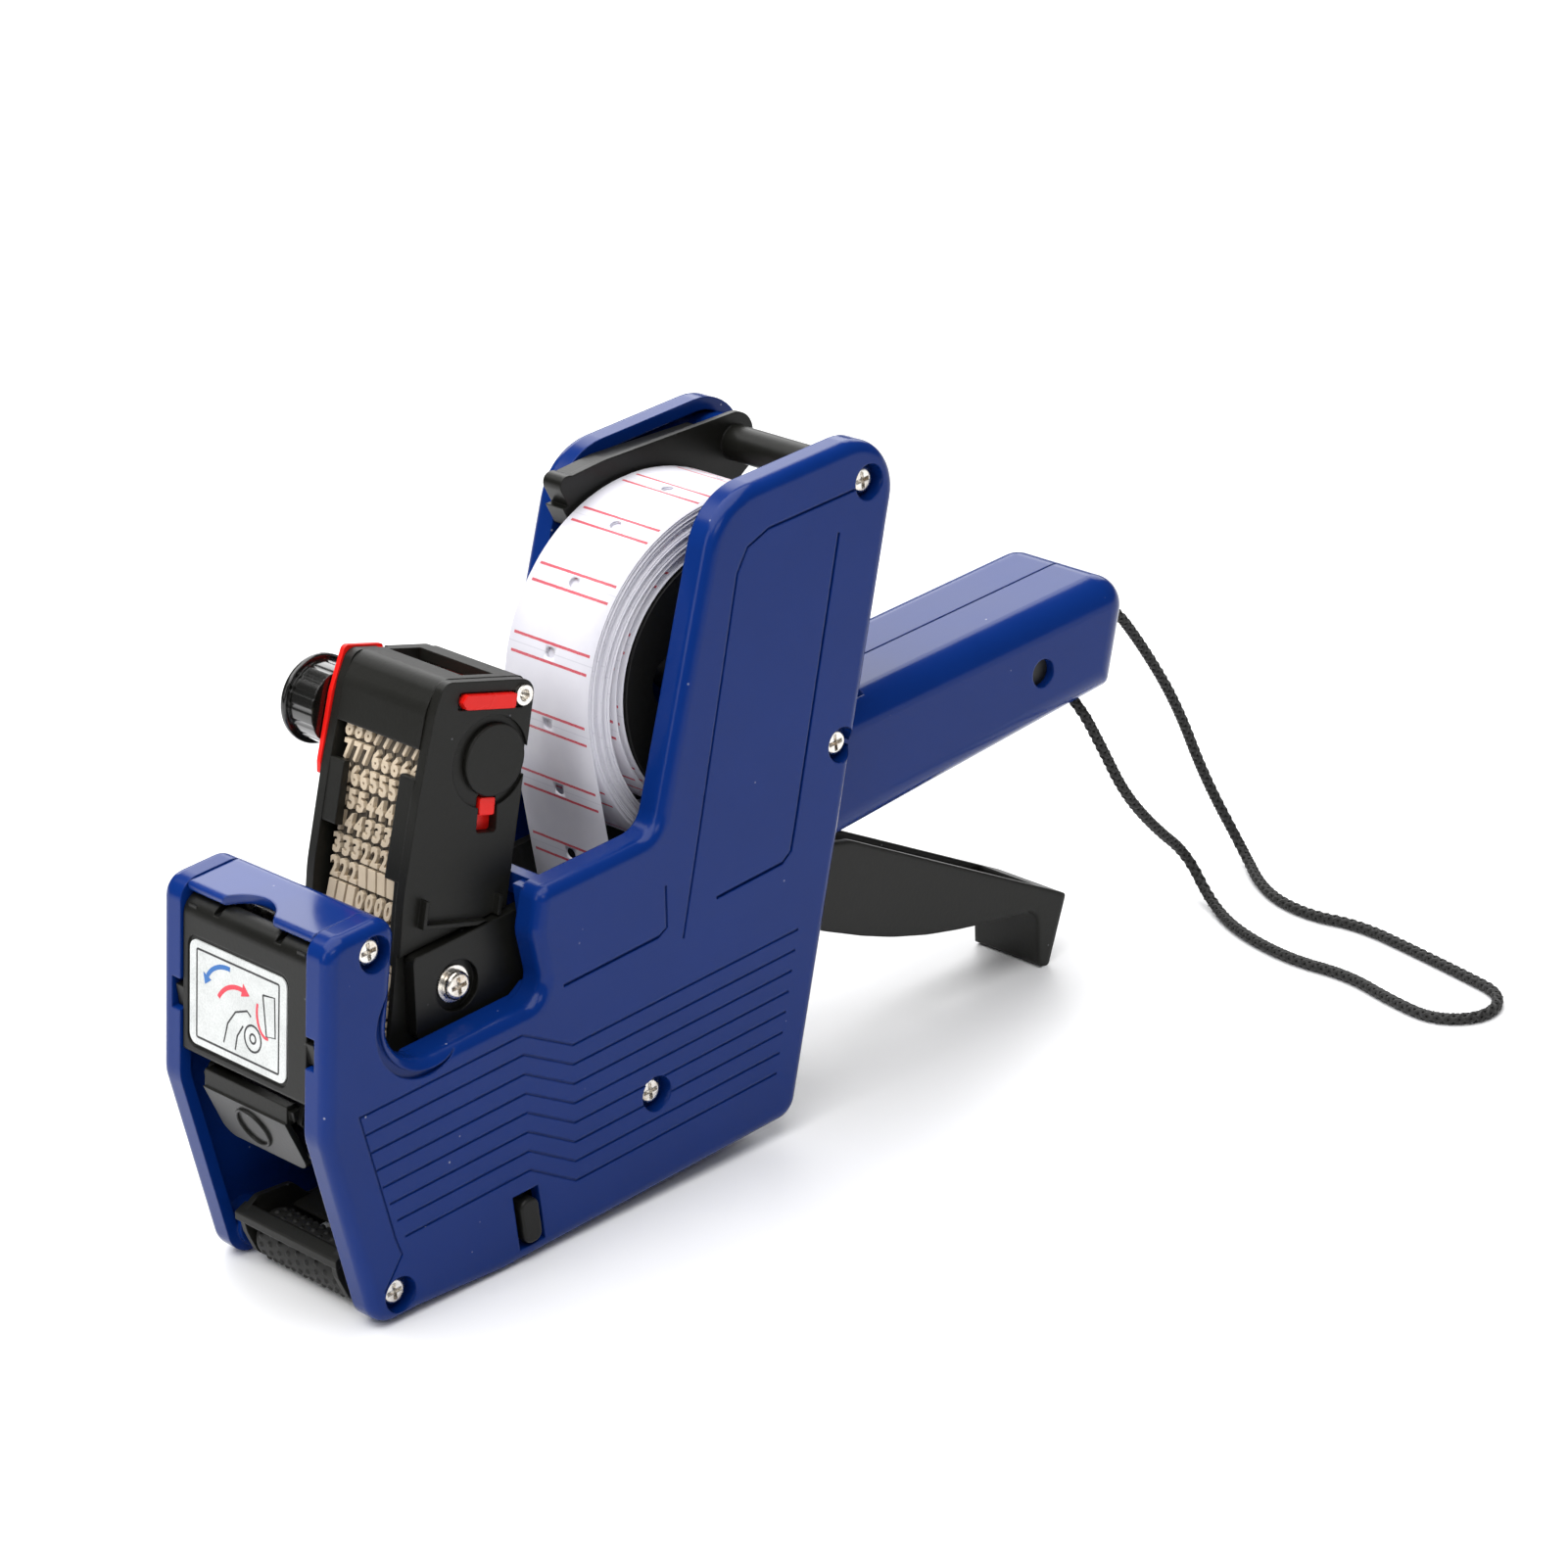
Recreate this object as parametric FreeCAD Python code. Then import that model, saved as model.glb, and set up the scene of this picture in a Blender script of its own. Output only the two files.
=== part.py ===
"""Hand-held price labeling gun, drawn in its level design frame and stood on its base and trigger foot.

X runs from the nose to the handle, Y across the gun (the user's left is -Y) and Z up.  Units are
millimetres.  Every solid is drawn with the base line level, then stand() tilts the whole gun by the
few degrees that the trigger foot lifts its rear, and puts the origin under the middle of its box.
"""

import FreeCAD
import Part
import math
import os

Vector = FreeCAD.Vector

# ---- casing -------------------------------------------------------------------------------------
HALF_WIDTH = 21.5          # outer faces of the two shells
RIM_INNER = 16.2           # inner edge of each shell's rim
WALL = 2.2
PLATE_INNER = HALF_WIDTH - WALL
EDGE_ROUND = 2.2
LEAN = 0.3636              # rearward lean of the casing's back edge, dx/dz
BACK_FOOT = 85.05          # where that back edge meets the base line
TOP = 112.0
SHELF = 61.3               # top of the casing between the head's notch and the label magazine
NOTCH_FLOOR = 42.8
NOTCH_CORNER = (13.1, 50.3)   # centre of the notch's front lower round
NOTCH_CORNER_R = 7.5
CRESCENT_R = 9.2           # thumb-nail hollow outside that round's raised rim
NOTCH_LINER = 14.8         # the notch floor reaches in this far
NOSE_TOP = 69.2
NOSE_FRONT_X = -9.7
NOSE_FRONT_Z = 37.1

# ---- handle -------------------------------------------------------------------------------------
HANDLE_HALF = 14.0
HANDLE_WALL = 2.1
HANDLE_ROUND = 5.2
HANDLE_TOP = 62.9
HANDLE_BOTTOM_FRONT = 39.4
HANDLE_BOTTOM_REAR = 42.3
HANDLE_END_X = 176.2       # rear end at the bottom edge

# ---- lever, print head and roll -------------------------------------------------------------------
PIVOT = (94.0, 46.0)
LEVER_SHAFT = (86.2, 38.0)
LEVER_TIE = (90.4, 32.2)
HEAD_SCREW = (24.9, 48.1)
HEAD_LEAN = 18.4           # degrees that the print head leans back at rest
FOOT_X = 158.8
FOOT_Z = -7.0
BASE_FRONT_X = 20.9        # where the level base line ends at the front
ROLL = (91.0, 76.3)
ROLL_R = 30.6
ROLL_CORE_R = 22.6
LABEL_HALF = 10.75         # a 21.5 mm wide label strip
FEED = (56.1, 17.0)
FEED_R = 7.3
STRIP = 0.25
BED = 9.4                  # top of the printing bed
YOKE = (116.0, 104.2)
ROLLER = (0.0, 5.9)
ROLLER_R = 4.5
COVER_HINGE = (-1.5, 64.4)
ARM_PIVOT = (1.6, 59.2)
INK = (1.3, 31.5)
INK_R = 6.3
RECESS_R = 3.1             # round recesses of the shell screws
RECESS_FLOOR = 18.4
SCREW_TOP = 19.9           # outer face of a shell screw's head
CORD_R = 1.05
CORD_PIN = (158.4, 52.0)
COVER_PIN = (81.4, 2.9)
KNOT = (80.8, 0.0, 60.0)   # middle of the cord's knot, where the gun stands
KNOT_R = 3.1

# ---- print head, in its own up and forward measures from the head screw -------------------------------
CHEEK_INNER = 10.4
CHEEK_OUTER = 12.3
RIB_HEIGHT = 1.4
DRIVE = (38.9, 6.8)        # axis of the selector shaft
WHEEL = (37.0, 1.4)        # axis of the type wheels
HEAD_PIN = (46.7, -7.6)
BAND_PITCH = 2.4
BAND_COUNT = 8
BAND_WIDTH = 2.12
KNOB_R = 6.6
KNOB_FLANGE_R = 7.5
KNOB_FLUTES = 16

# ---- placing ------------------------------------------------------------------------------------
TILT = math.degrees(math.atan2(-FOOT_Z, FOOT_X - BASE_FRONT_X))
ORIGIN_X = 83.352          # middle of the gun's box after tilting, without its wrist cord
ORIGIN_Z = BASE_FRONT_X * math.sin(math.radians(TILT))

SCREWS = {
    "front_top": (5.0, 64.3),
    "front_bottom": ROLLER,
    "centre": FEED,
    "middle_rear": (104.1, 61.4),
    "top_rear": YOKE,
}


def back_x(z):
    """X of the casing's back edge at height z."""
    return BACK_FOOT + LEAN * z


# ---- drawing helpers ----------------------------------------------------------------------------
def corner_arc(before, corner, after, radius):
    """Start, middle and end of the arc that rounds one corner of an outline."""
    a = (before - corner).normalize()
    b = (after - corner).normalize()
    half = a.getAngle(b) / 2.0
    reach = radius / math.tan(half)
    start = corner + a * reach
    end = corner + b * reach
    centre = corner + (a + b).normalize() * (radius / math.sin(half))
    middle = centre + (corner - centre).normalize() * radius
    return start, middle, end


def fitting_radii(corners, radii):
    """Corner radii, reduced wherever two rounds would overlap on the side between them."""
    fitted = list(radii)
    count = len(corners)
    reach_per_radius = []
    for i, corner in enumerate(corners):
        half = (corners[i - 1] - corner).getAngle(corners[(i + 1) % count] - corner) / 2.0
        reach_per_radius.append(1.0 / math.tan(half))
    for i in range(count):
        j = (i + 1) % count
        length = corners[i].distanceToPoint(corners[j])
        taken = fitted[i] * reach_per_radius[i] + fitted[j] * reach_per_radius[j]
        if taken > 0.98 * length:
            fitted[i] *= 0.98 * length / taken
            fitted[j] *= 0.98 * length / taken
    return fitted


def rounded_wire(corners, wanted_radii):
    """Closed wire through flat corners, each rounded by its own radius."""
    radii = fitting_radii(corners, wanted_radii)
    spans = []
    for i, corner in enumerate(corners):
        if radii[i] <= 0.0:
            spans.append((corner, None, corner))
        else:
            spans.append(corner_arc(corners[i - 1], corner, corners[(i + 1) % len(corners)], radii[i]))
    edges = []
    for i, (start, middle, end) in enumerate(spans):
        if middle is not None:
            edges.append(Part.Arc(start, middle, end).toShape())
        following = spans[(i + 1) % len(spans)][0]
        if end.distanceToPoint(following) > 1e-4:
            edges.append(Part.LineSegment(end, following).toShape())
    return Part.Wire(edges)


def outline(points, y=0.0):
    """Closed wire in the XZ plane from (x, z, corner radius) points."""
    corners = [Vector(p[0], y, p[1]) for p in points]
    radii = [p[2] if len(p) > 2 else 0.0 for p in points]
    return rounded_wire(corners, radii)


def plate(points, y0, y1):
    """Solid between the planes y0 and y1 with the given XZ outline."""
    face = Part.Face(outline(points, y0))
    return face.extrude(Vector(0, y1 - y0, 0))


def rod(at, radius, y0, y1):
    """Cylinder along Y."""
    return Part.makeCylinder(radius, y1 - y0, Vector(at[0], y0, at[1]), Vector(0, 1, 0))


def ring(at, outer, inner, y0, y1):
    return rod(at, outer, y0, y1).cut(rod(at, inner, y0 - 1, y1 + 1))


def box(x0, x1, y0, y1, z0, z1):
    return Part.makeBox(x1 - x0, y1 - y0, z1 - z0, Vector(x0, y0, z0))


def fuse(first, *others):
    return first.multiFuse(list(others)).removeSplitter()


def mirrored(shape):
    """The same piece on the other side of the gun."""
    return shape.mirror(Vector(0, 0, 0), Vector(0, 1, 0))


def both_sides(shape):
    return Part.makeCompound([shape, mirrored(shape)])


def groove(points, width, depth):
    """Tool that cuts one line, given as (x, z) points, into the left shell's outer face."""
    left = []
    right = []
    for i, (x, z) in enumerate(points):
        x_from, z_from = points[max(i - 1, 0)]
        x_to, z_to = points[min(i + 1, len(points) - 1)]
        length = math.hypot(x_to - x_from, z_to - z_from)
        across_x = -(z_to - z_from) / length * width / 2.0
        across_z = (x_to - x_from) / length * width / 2.0
        left.append((x + across_x, z + across_z))
        right.append((x - across_x, z - across_z))
    return plate(left + right[::-1], -HALF_WIDTH - 1.0, -HALF_WIDTH + depth)


def head_point(up, forward):
    """XZ of a point given along and across the leaning print head, from its lower screw."""
    lean = math.radians(HEAD_LEAN)
    x = HEAD_SCREW[0] + up * math.sin(lean) - forward * math.cos(lean)
    z = HEAD_SCREW[1] + up * math.cos(lean) + forward * math.sin(lean)
    return x, z


def head_plate(points, y0, y1):
    """Plate whose outline is given as (up, forward, radius) on the print head."""
    turned = []
    for point in points:
        radius = point[2] if len(point) > 2 else 0.0
        turned.append(head_point(point[0], point[1]) + (radius,))
    return plate(turned, y0, y1)


def round_edges(shape, radius, wanted):
    """Round the edges that a test picks by their middle point and length."""
    picked = []
    for edge in shape.Edges:
        middle = edge.valueAt((edge.FirstParameter + edge.LastParameter) / 2.0)
        if wanted(edge, middle):
            picked.append(edge)
    return shape.makeFillet(radius, picked) if picked else shape


# ---- casing -------------------------------------------------------------------------------------
def casing_points():
    return [
        (-5.3, 1.6, 4.4),
        (NOSE_FRONT_X, NOSE_FRONT_Z, 7.0),
        (-3.45, NOSE_TOP, 4.0),
        (10.7, NOSE_TOP, 3.2),
        (5.3, 49.4, 5.0),
        (8.3, NOTCH_FLOOR, NOTCH_CORNER_R),
        (36.9, NOTCH_FLOOR, 4.0),
        (35.9, 54.2, 5.0),
        (38.4, SHELF, 2.6),
        (62.9, SHELF, 5.0),
        (83.6, TOP, 12.0),
        (back_x(TOP), TOP, 9.2),
        (BACK_FOOT, 0.0, 4.5),
        (BASE_FRONT_X, 0.0, 0.0),
        (3.6, 1.5, 0.0),
    ]


def handle_end(z):
    return HANDLE_END_X + LEAN * (z - HANDLE_BOTTOM_REAR)


def handle_half():
    """Right half of the hollow, open-bottomed handle, closed at the seam on top."""
    front = back_x(50.0) - 8.0
    shape = plate(
        [
            (front, HANDLE_TOP),
            (handle_end(HANDLE_TOP), HANDLE_TOP, 5.5),
            (HANDLE_END_X, HANDLE_BOTTOM_REAR, 0.8),
            (front, HANDLE_BOTTOM_FRONT - 0.5),
        ],
        0.0,
        HANDLE_HALF,
    )
    shape = round_edges(
        shape,
        HANDLE_ROUND,
        lambda e, m: m.y > HANDLE_HALF - 0.1 and (m.z > HANDLE_TOP - 0.1 or m.x > HANDLE_END_X + 3.6),
    )
    inside_top = HANDLE_TOP - HANDLE_WALL
    hollow = plate(
        [
            (front - 1.0, inside_top),
            (handle_end(inside_top) - HANDLE_WALL - 0.6, inside_top, 3.5),
            (HANDLE_END_X - HANDLE_WALL - 0.4, HANDLE_BOTTOM_REAR - 0.2),
            (HANDLE_END_X - HANDLE_WALL - 0.4, HANDLE_BOTTOM_FRONT - 4.0),
            (front - 1.0, HANDLE_BOTTOM_FRONT - 4.0),
        ],
        -1.0,
        HANDLE_HALF - HANDLE_WALL,
    )
    shape = shape.cut(hollow)
    behind_casing = plate(
        [(0.0, 0.0), (BACK_FOOT - 0.4, 0.0), (back_x(TOP) - 0.4, TOP), (0.0, TOP)], -1.0, HANDLE_HALF + 1.0
    )
    shape = shape.cut(behind_casing)
    cord_hole = Part.makeCylinder(1.5, 20.0, Vector(170.0, 0.0, 53.5), Vector(1, 0, 0))
    return shape.cut(cord_hole)


def groove_lines():
    """The eight zigzag lines low on each side, and the outline of the magazine's panel."""
    lines = []
    pitch = 3.37
    for row in range(8):
        drop = row * pitch
        left_end = -2.4 + 0.005 * drop * drop + 0.09 * drop
        right_end = 90.1 - 0.352 * drop
        bend_a = 30.7 - 0.09 * drop
        bend_b = 40.4 - 0.13 * drop
        top = 39.0 - drop
        lines.append(
            ([(left_end, top), (bend_a, top), (bend_b, top - 6.0), (right_end, top - 6.0)], 0.4, 0.22),
        )
    lines.append(([(-2.6, 39.2), (0.6, 15.9), (1.4, 12.6), (-3.0, 7.6)], 0.35, 0.3))
    magazine = [(113.2, 104.0), (93.5, 104.0), (88.6, 102.4), (85.8, 98.8), (72.1, 59.8), (65.6, 41.6)]
    lines.append((magazine, 0.45, 0.35))
    lines.append(([(108.3, 98.0), (92.1, 51.8), (90.4, 47.3), (88.4, 46.0), (73.5, 45.7)], 0.55, 0.5))
    lines.append(([(40.1, 43.8), (60.6, 44.0), (62.5, 44.9), (63.3, 52.1)], 0.5, 0.4))
    return lines


def shell_right():
    body = plate(casing_points(), RIM_INNER, HALF_WIDTH)
    body = round_edges(body, EDGE_ROUND, lambda e, m: m.y > HALF_WIDTH - 0.01)
    hollow = Part.Face(outline(casing_points(), RIM_INNER - 1.0)).makeOffset2D(-WALL)
    body = body.cut(hollow.extrude(Vector(0, PLATE_INNER - RIM_INNER + 1.0, 0)))

    # floor and back of the notch, which reach in to the print arms
    floor = plate(
        [
            (9.4, NOTCH_FLOOR - WALL),
            (36.0, NOTCH_FLOOR - WALL),
            (38.9, NOTCH_FLOOR + 1.5, 1.0),
            (36.6, NOTCH_FLOOR + 1.5, 1.0),
            (34.0, NOTCH_FLOOR),
            (11.5, NOTCH_FLOOR),
        ],
        NOTCH_LINER,
        RIM_INNER + 0.5,
    )
    back_post = box(38.2, 41.2, 14.3, RIM_INNER + 0.5, NOTCH_FLOOR - WALL, SHELF - 0.5)
    back_wall = box(40.2, 42.2, 0.1, 9.8, 46.0, SHELF)
    back_lintel = box(40.2, 42.2, 0.1, RIM_INNER + 0.5, 57.4, SHELF)

    # back wall between the rim and the handle
    wall = plate(
        [
            (back_x(37.5), 37.5),
            (back_x(66.0), 66.0),
            (back_x(66.0) - WALL, 66.0),
            (back_x(37.5) - WALL, 37.5),
        ],
        HANDLE_HALF + 0.3,
        RIM_INNER + 0.5,
    )
    bosses = [
        rod(SCREWS["front_top"], 3.9, RIM_INNER - 0.1, PLATE_INNER + 0.5),
        rod(ARM_PIVOT, 2.4, 15.6, PLATE_INNER + 0.5),
        rod(COVER_HINGE, 2.0, RIM_INNER, PLATE_INNER + 0.5),
        rod(SCREWS["front_bottom"], 3.9, 15.2, PLATE_INNER + 0.5),
        rod(SCREWS["centre"], 4.6, 13.0, PLATE_INNER + 0.5),
        rod(SCREWS["middle_rear"], 4.2, 14.2, PLATE_INNER + 0.5),
        rod(SCREWS["top_rear"], 4.2, 14.4, PLATE_INNER + 0.5),
        rod(PIVOT, 5.2, 15.85, PLATE_INNER + 0.5),
    ]
    inside_casing = plate(casing_points(), 12.0, PLATE_INNER + 0.6)
    bosses = fuse(*bosses).common(inside_casing)
    shape = fuse(body, floor, back_post, back_wall, back_lintel, wall, bosses)
    shape = shape.cut(rod(ROLL, ROLL_R + 1.3, -1.0, LABEL_HALF + 1.9))
    handle = handle_half().cut(rod(ROLL, ROLL_R + 0.7, -1.0, LABEL_HALF + 0.5))
    shape = fuse(shape, handle)
    for name, at in SCREWS.items():
        shape = shape.cut(rod(at, RECESS_R, RECESS_FLOOR, HALF_WIDTH + 1.0))
        shape = shape.cut(rod(at, 1.35, 10.0, HALF_WIDTH))
    shape = shape.cut(rod(CORD_PIN, 2.6, 8.0, HANDLE_HALF + 1.0))
    shape = shape.cut(rod(PIVOT, 2.5, 13.0, PLATE_INNER - 0.5))
    shape = shape.cut(rod(ARM_PIVOT, 1.2, 13.0, PLATE_INNER - 0.5))
    shape = shape.cut(rod(COVER_HINGE, 0.9, 13.0, PLATE_INNER - 0.5))
    shape = shape.cut(rod(COVER_PIN, 1.0, 13.0, 17.2))
    lug_notch = box(-9.0, -2.5, RIM_INNER - 1.0, RIM_INNER + 2.2, 48.2, 53.4)
    latch_slot = box(24.2, 29.6, RIM_INNER - 1.0, HALF_WIDTH + 1.0, 2.4, 12.2)
    shape = shape.cut(lug_notch).cut(latch_slot)
    rim = rod(NOTCH_CORNER, CRESCENT_R, PLATE_INNER, HALF_WIDTH + 2.0)
    hollow_at = (NOTCH_CORNER[0] - 1.15, NOTCH_CORNER[1] - 0.85)
    crescent = rod(hollow_at, CRESCENT_R, HALF_WIDTH - 0.8, HALF_WIDTH + 1.0).cut(rim)
    seam = box(
        back_x(HANDLE_TOP) + 1.0,
        HANDLE_END_X + 12.0,
        -0.1,
        0.16,
        HANDLE_TOP - 0.45,
        HANDLE_TOP + 1.0,
    )
    shape = shape.cut(crescent).cut(seam)
    tools = [mirrored(groove(points, width, depth)) for points, width, depth in groove_lines()]
    return shape.cut(Part.makeCompound(tools))


def nose_bridge():
    half = RIM_INNER - 0.15
    shape = plate(
        [(-2.2, 67.4, 0.5), (-2.6, 69.0, 1.0), (9.5, 69.0, 2.4), (9.5, 64.0, 0.5), (6.0, 51.5), (4.2, 51.5),
         (7.6, 64.6), (7.6, 67.4, 1.0)],
        -half,
        half,
    )
    scallop = Part.makeCylinder(7.4, 8.0, Vector(-5.9, 0.4, 64.0), Vector(0, 0, 1))
    return shape.cut(scallop)


# ---- nose: ink cover, ink roller, applicator ------------------------------------------------------
def front_x(z, inset):
    """X of the sloping nose front at height z, set in by inset."""
    return NOSE_FRONT_X + 0.1947 * (z - NOSE_FRONT_Z) + inset


def front_sheet(y0, y1, z0, z1, radius, inset, thick):
    """Sheet with rounded corners lying along the sloping nose front."""
    corners = [Vector(front_x(z, inset), y, z) for y, z in ((y0, z0), (y1, z0), (y1, z1), (y0, z1))]
    face = Part.Face(rounded_wire(corners, [radius] * 4))
    return face.extrude(Vector(thick, 0, 0))


def ink_cover():
    """Front cover that swings up from its two ears under the nose bridge."""
    half = RIM_INNER - 0.3
    inset = 0.4
    thick = 1.9
    top = 66.9
    shape = plate(
        [
            (front_x(41.6, inset), 41.6, 0.6),
            (front_x(top, inset), top, 4.2),
            (0.0, top - 0.1, 0.8),
            (0.0, top - 1.8, 0.8),
            (front_x(65.0, inset) + thick + 1.2, 65.0, 2.0),
            (front_x(41.6, inset) + thick, 41.6, 0.6),
        ],
        -half,
        half,
    )
    for side in (-1, 1):
        shape = shape.cut(box(-6.0, 0.6, side * 7.9 - 0.75, side * 7.9 + 0.75, 65.6, 70.0))
    shape = shape.cut(front_sheet(-11.3, 14.7, 43.0, 61.4, 2.0, inset - 1.0, 1.3))
    lugs = []
    for side in (-1, 1):
        y0, y1 = sorted((side * (half - 0.3), side * (RIM_INNER + 1.6)))
        lugs.append(box(front_x(50.3, inset) + 0.3, front_x(50.3, inset) + 2.2, y0, y1, 48.5, 52.1))
        y0, y1 = sorted((side * 12.9, side * 15.0))
        lugs.append(plate([(-3.8, 62.4), (-3.4, 66.0), (0.3, 66.0, 1.7), (0.3, 62.4, 1.7)], y0, y1))
    hinge_hole = rod(COVER_HINGE, 0.95, -20.0, 20.0)
    return fuse(shape, *lugs).cut(hinge_hole)


def ink_label():
    """Blank card stuck on the ink cover, a little off centre."""
    return front_sheet(-10.8, 14.2, 43.6, 60.7, 1.7, 0.42, 0.26)


def ink_arm():
    """Swinging carrier of the ink roller, with its neck and the grip tab below the cover."""
    neck_inset = 1.0
    neck = plate(
        [
            (front_x(36.8, neck_inset), 36.8),
            (front_x(39.7, neck_inset), 39.7),
            (front_x(39.7, neck_inset) + 1.6, 39.7),
            (front_x(36.8, neck_inset) + 1.8, 36.4),
        ],
        -10.4,
        10.9,
    )
    grip_corners = [Vector(-9.1, 10.9, 37.0), Vector(-9.1, -10.4, 37.0), Vector(-5.9, -10.4, 27.1),
                    Vector(-5.9, 10.9, 27.1)]
    grip = Part.Face(rounded_wire(grip_corners, [0.0, 0.0, 2.4, 2.4])).extrude(Vector(1.1, 0, 0))
    boss_at = (-7.75, 32.2)
    emboss = Part.makeTorus(3.6, 0.3, Vector(boss_at[0], 0.6, boss_at[1]), Vector(-0.95, 0, -0.306))
    sides = []
    for y0 in (-12.4, 11.2):
        arm = plate(
            [
                (-0.4, 61.0, 2.0),
                (3.4, 61.0, 2.0),
                (3.2, 41.0, 3.0),
                (INK[0] + 2.6, INK[1] - 2.6, 2.0),
                (INK[0] - 3.0, INK[1] - 2.6, 1.5),
                (-7.4, 36.8, 0.5),
                (-6.4, 39.4, 1.0),
                (-1.2, 42.4, 3.0),
            ],
            y0,
            y0 + 1.2,
        )
        sides.append(arm.cut(rod(ARM_PIVOT, 1.25, y0 - 1, y0 + 2.2)).cut(rod(INK, 1.5, y0 - 1, y0 + 2.2)))
    tie = box(-8.0, -5.8, -11.6, 11.6, 37.4, 39.0)
    back_tie = box(-3.4, 1.0, -11.4, 11.4, 41.0, 42.2)
    return fuse(neck, grip, emboss, tie, back_tie, *sides)


def platen():
    """Printing bed, peel edge and the front lip over the applicator roller."""
    bed = plate(
        [(3.6, BED - 0.2, 0.3), (5.2, BED, 0.3), (46.0, BED, 0.3), (46.0, BED - 1.4, 0.3),
         (5.6, BED - 1.6, 0.3)],
        -LABEL_HALF - 0.2,
        LABEL_HALF + 0.2,
    )
    pad_seat = box(17.0, 40.0, -9.0, 9.0, BED - 3.0, BED - 1.2)
    ears = []
    for side in (-1, 1):
        y0, y1 = sorted((side * 11.3, side * 12.5))
        ear = plate(
            [
                (-5.6, 11.5, 0.6),
                (-5.2, 8.0, 1.0),
                (-3.6, 3.2, 1.6),
                (3.0, 2.4, 1.6),
                (48.0, 5.6, 10.0),
                (63.0, 11.0, 5.0),
                (60.0, 21.4, 4.0),
                (52.0, 21.4, 4.0),
                (46.0, 8.9, 4.0),
                (8.0, 9.0, 2.0),
                (5.0, 12.6, 2.0),
                (-2.0, 13.4, 1.5),
            ],
            y0,
            y1,
        )
        ears.append(ear.cut(rod(ROLLER, 1.26, y0 - 1, y1 + 1)).cut(rod(FEED, 3.01, y0 - 1, y1 + 1)))
    lip = plate([(-5.9, 9.9, 0.3), (-5.7, 11.6, 0.4), (-3.1, 12.6, 0.4), (-3.1, 10.9, 0.3)], -13.2, 13.2)
    ties = [box(x, x + 2.0, -12.5, 12.5, 6.4, 8.2) for x in (18.0, 43.0)]
    return fuse(bed, pad_seat, lip, *(ears + ties))


def applicator_roller():
    return ring(ROLLER, ROLLER_R, 1.28, -11.1, 11.1)


def label_guide_clip():
    """Small springy guide inside the front opening, on the left wall."""
    return plate(
        [(-4.4, 23.6, 0.3), (-2.0, 22.9, 0.4), (2.0, 24.0, 0.4), (9.0, 19.0, 1.0), (9.0, 15.6, 1.0),
         (-3.4, 18.4, 1.6), (-3.6, 21.6, 0.3), (-2.6, 22.4, 0.2)],
        -15.9,
        -14.6,
    )


# ---- lever --------------------------------------------------------------------------------------
def trigger():
    """Open-topped channel that the fingers squeeze, with its down-turned rear foot."""
    side = [
        (82.8, 40.6, 3.0),
        (98.0, 40.2, 6.0),
        (115.5, 35.3, 5.0),
        (164.7, 4.9, 0.8),
        (FOOT_X, FOOT_Z - 0.16, 0.8),
        (FOOT_X - 2.2, FOOT_Z + 0.6, 0.5),
        (157.6, 4.6, 3.0),
        (146.6, 6.8, 12.0),
        (138.0, 8.8, 40.0),
        (130.5, 10.9, 40.0),
        (122.3, 13.9, 40.0),
        (115.5, 17.0, 40.0),
        (107.7, 21.1, 40.0),
        (98.0, 26.5, 10.0),
        (85.0, 28.0, 4.0),
    ]
    half = 8.15
    wall = 1.5
    shape = plate(side, -half, half)
    channel = plate(
        [
            (94.5, 60.0),
            (94.5, 31.6, 2.0),
            (99.5, 29.4, 8.0),
            (113.4, 20.4, 38.0),
            (131.8, 12.9, 38.0),
            (146.9, 8.9, 12.0),
            (158.2, 6.6, 1.5),
            (162.0, 60.0),
        ],
        -half + wall,
        half - wall,
    )
    shape = shape.cut(channel)
    rib = box(126.0, 127.4, -half + 0.5, half - 0.5, 13.5, 22.0)
    shape = fuse(shape, rib)
    return shape.cut(rod(LEVER_SHAFT, 2.5, -20.0, 20.0)).cut(rod(LEVER_TIE, 2.0, -20.0, 20.0))


def lever_arm_right():
    """Flat print arm from the pivot forward to the head, with a tail down to the trigger."""
    rear = plate(
        [
            (40.6, 55.6, 1.0),
            (46.0, 55.6, 6.0),
            (58.0, 51.0, 10.0),
            (99.0, 51.2, 5.0),
            (99.0, 43.0, 4.0),
            (93.8, 37.5, 5.0),
            (94.2, 29.0, 3.4),
            (88.2, 27.2, 3.4),
            (81.6, 37.0, 3.4),
            (80.4, 41.0, 4.0),
            (58.0, 42.0, 10.0),
            (40.6, 42.4, 1.0),
        ],
        12.1,
        14.0,
    )
    front = plate(
        [(15.6, 41.4, 2.0), (17.2, 56.0, 1.2), (43.6, 55.9, 1.0), (43.6, 41.8, 4.0)],
        11.5,
        14.0,
    )
    shape = fuse(rear, front)
    recess = rod(HEAD_SCREW, 4.3, 12.7, 15.0)
    shape = shape.cut(recess)
    shape = shape.cut(rod(HEAD_SCREW, 1.3, 9.0, 13.0)).cut(rod(PIVOT, 2.56, 9.0, 15.0))
    return shape.cut(rod(LEVER_SHAFT, 2.5, 9.0, 15.0)).cut(rod(LEVER_TIE, 2.0, 9.0, 15.0))


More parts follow.
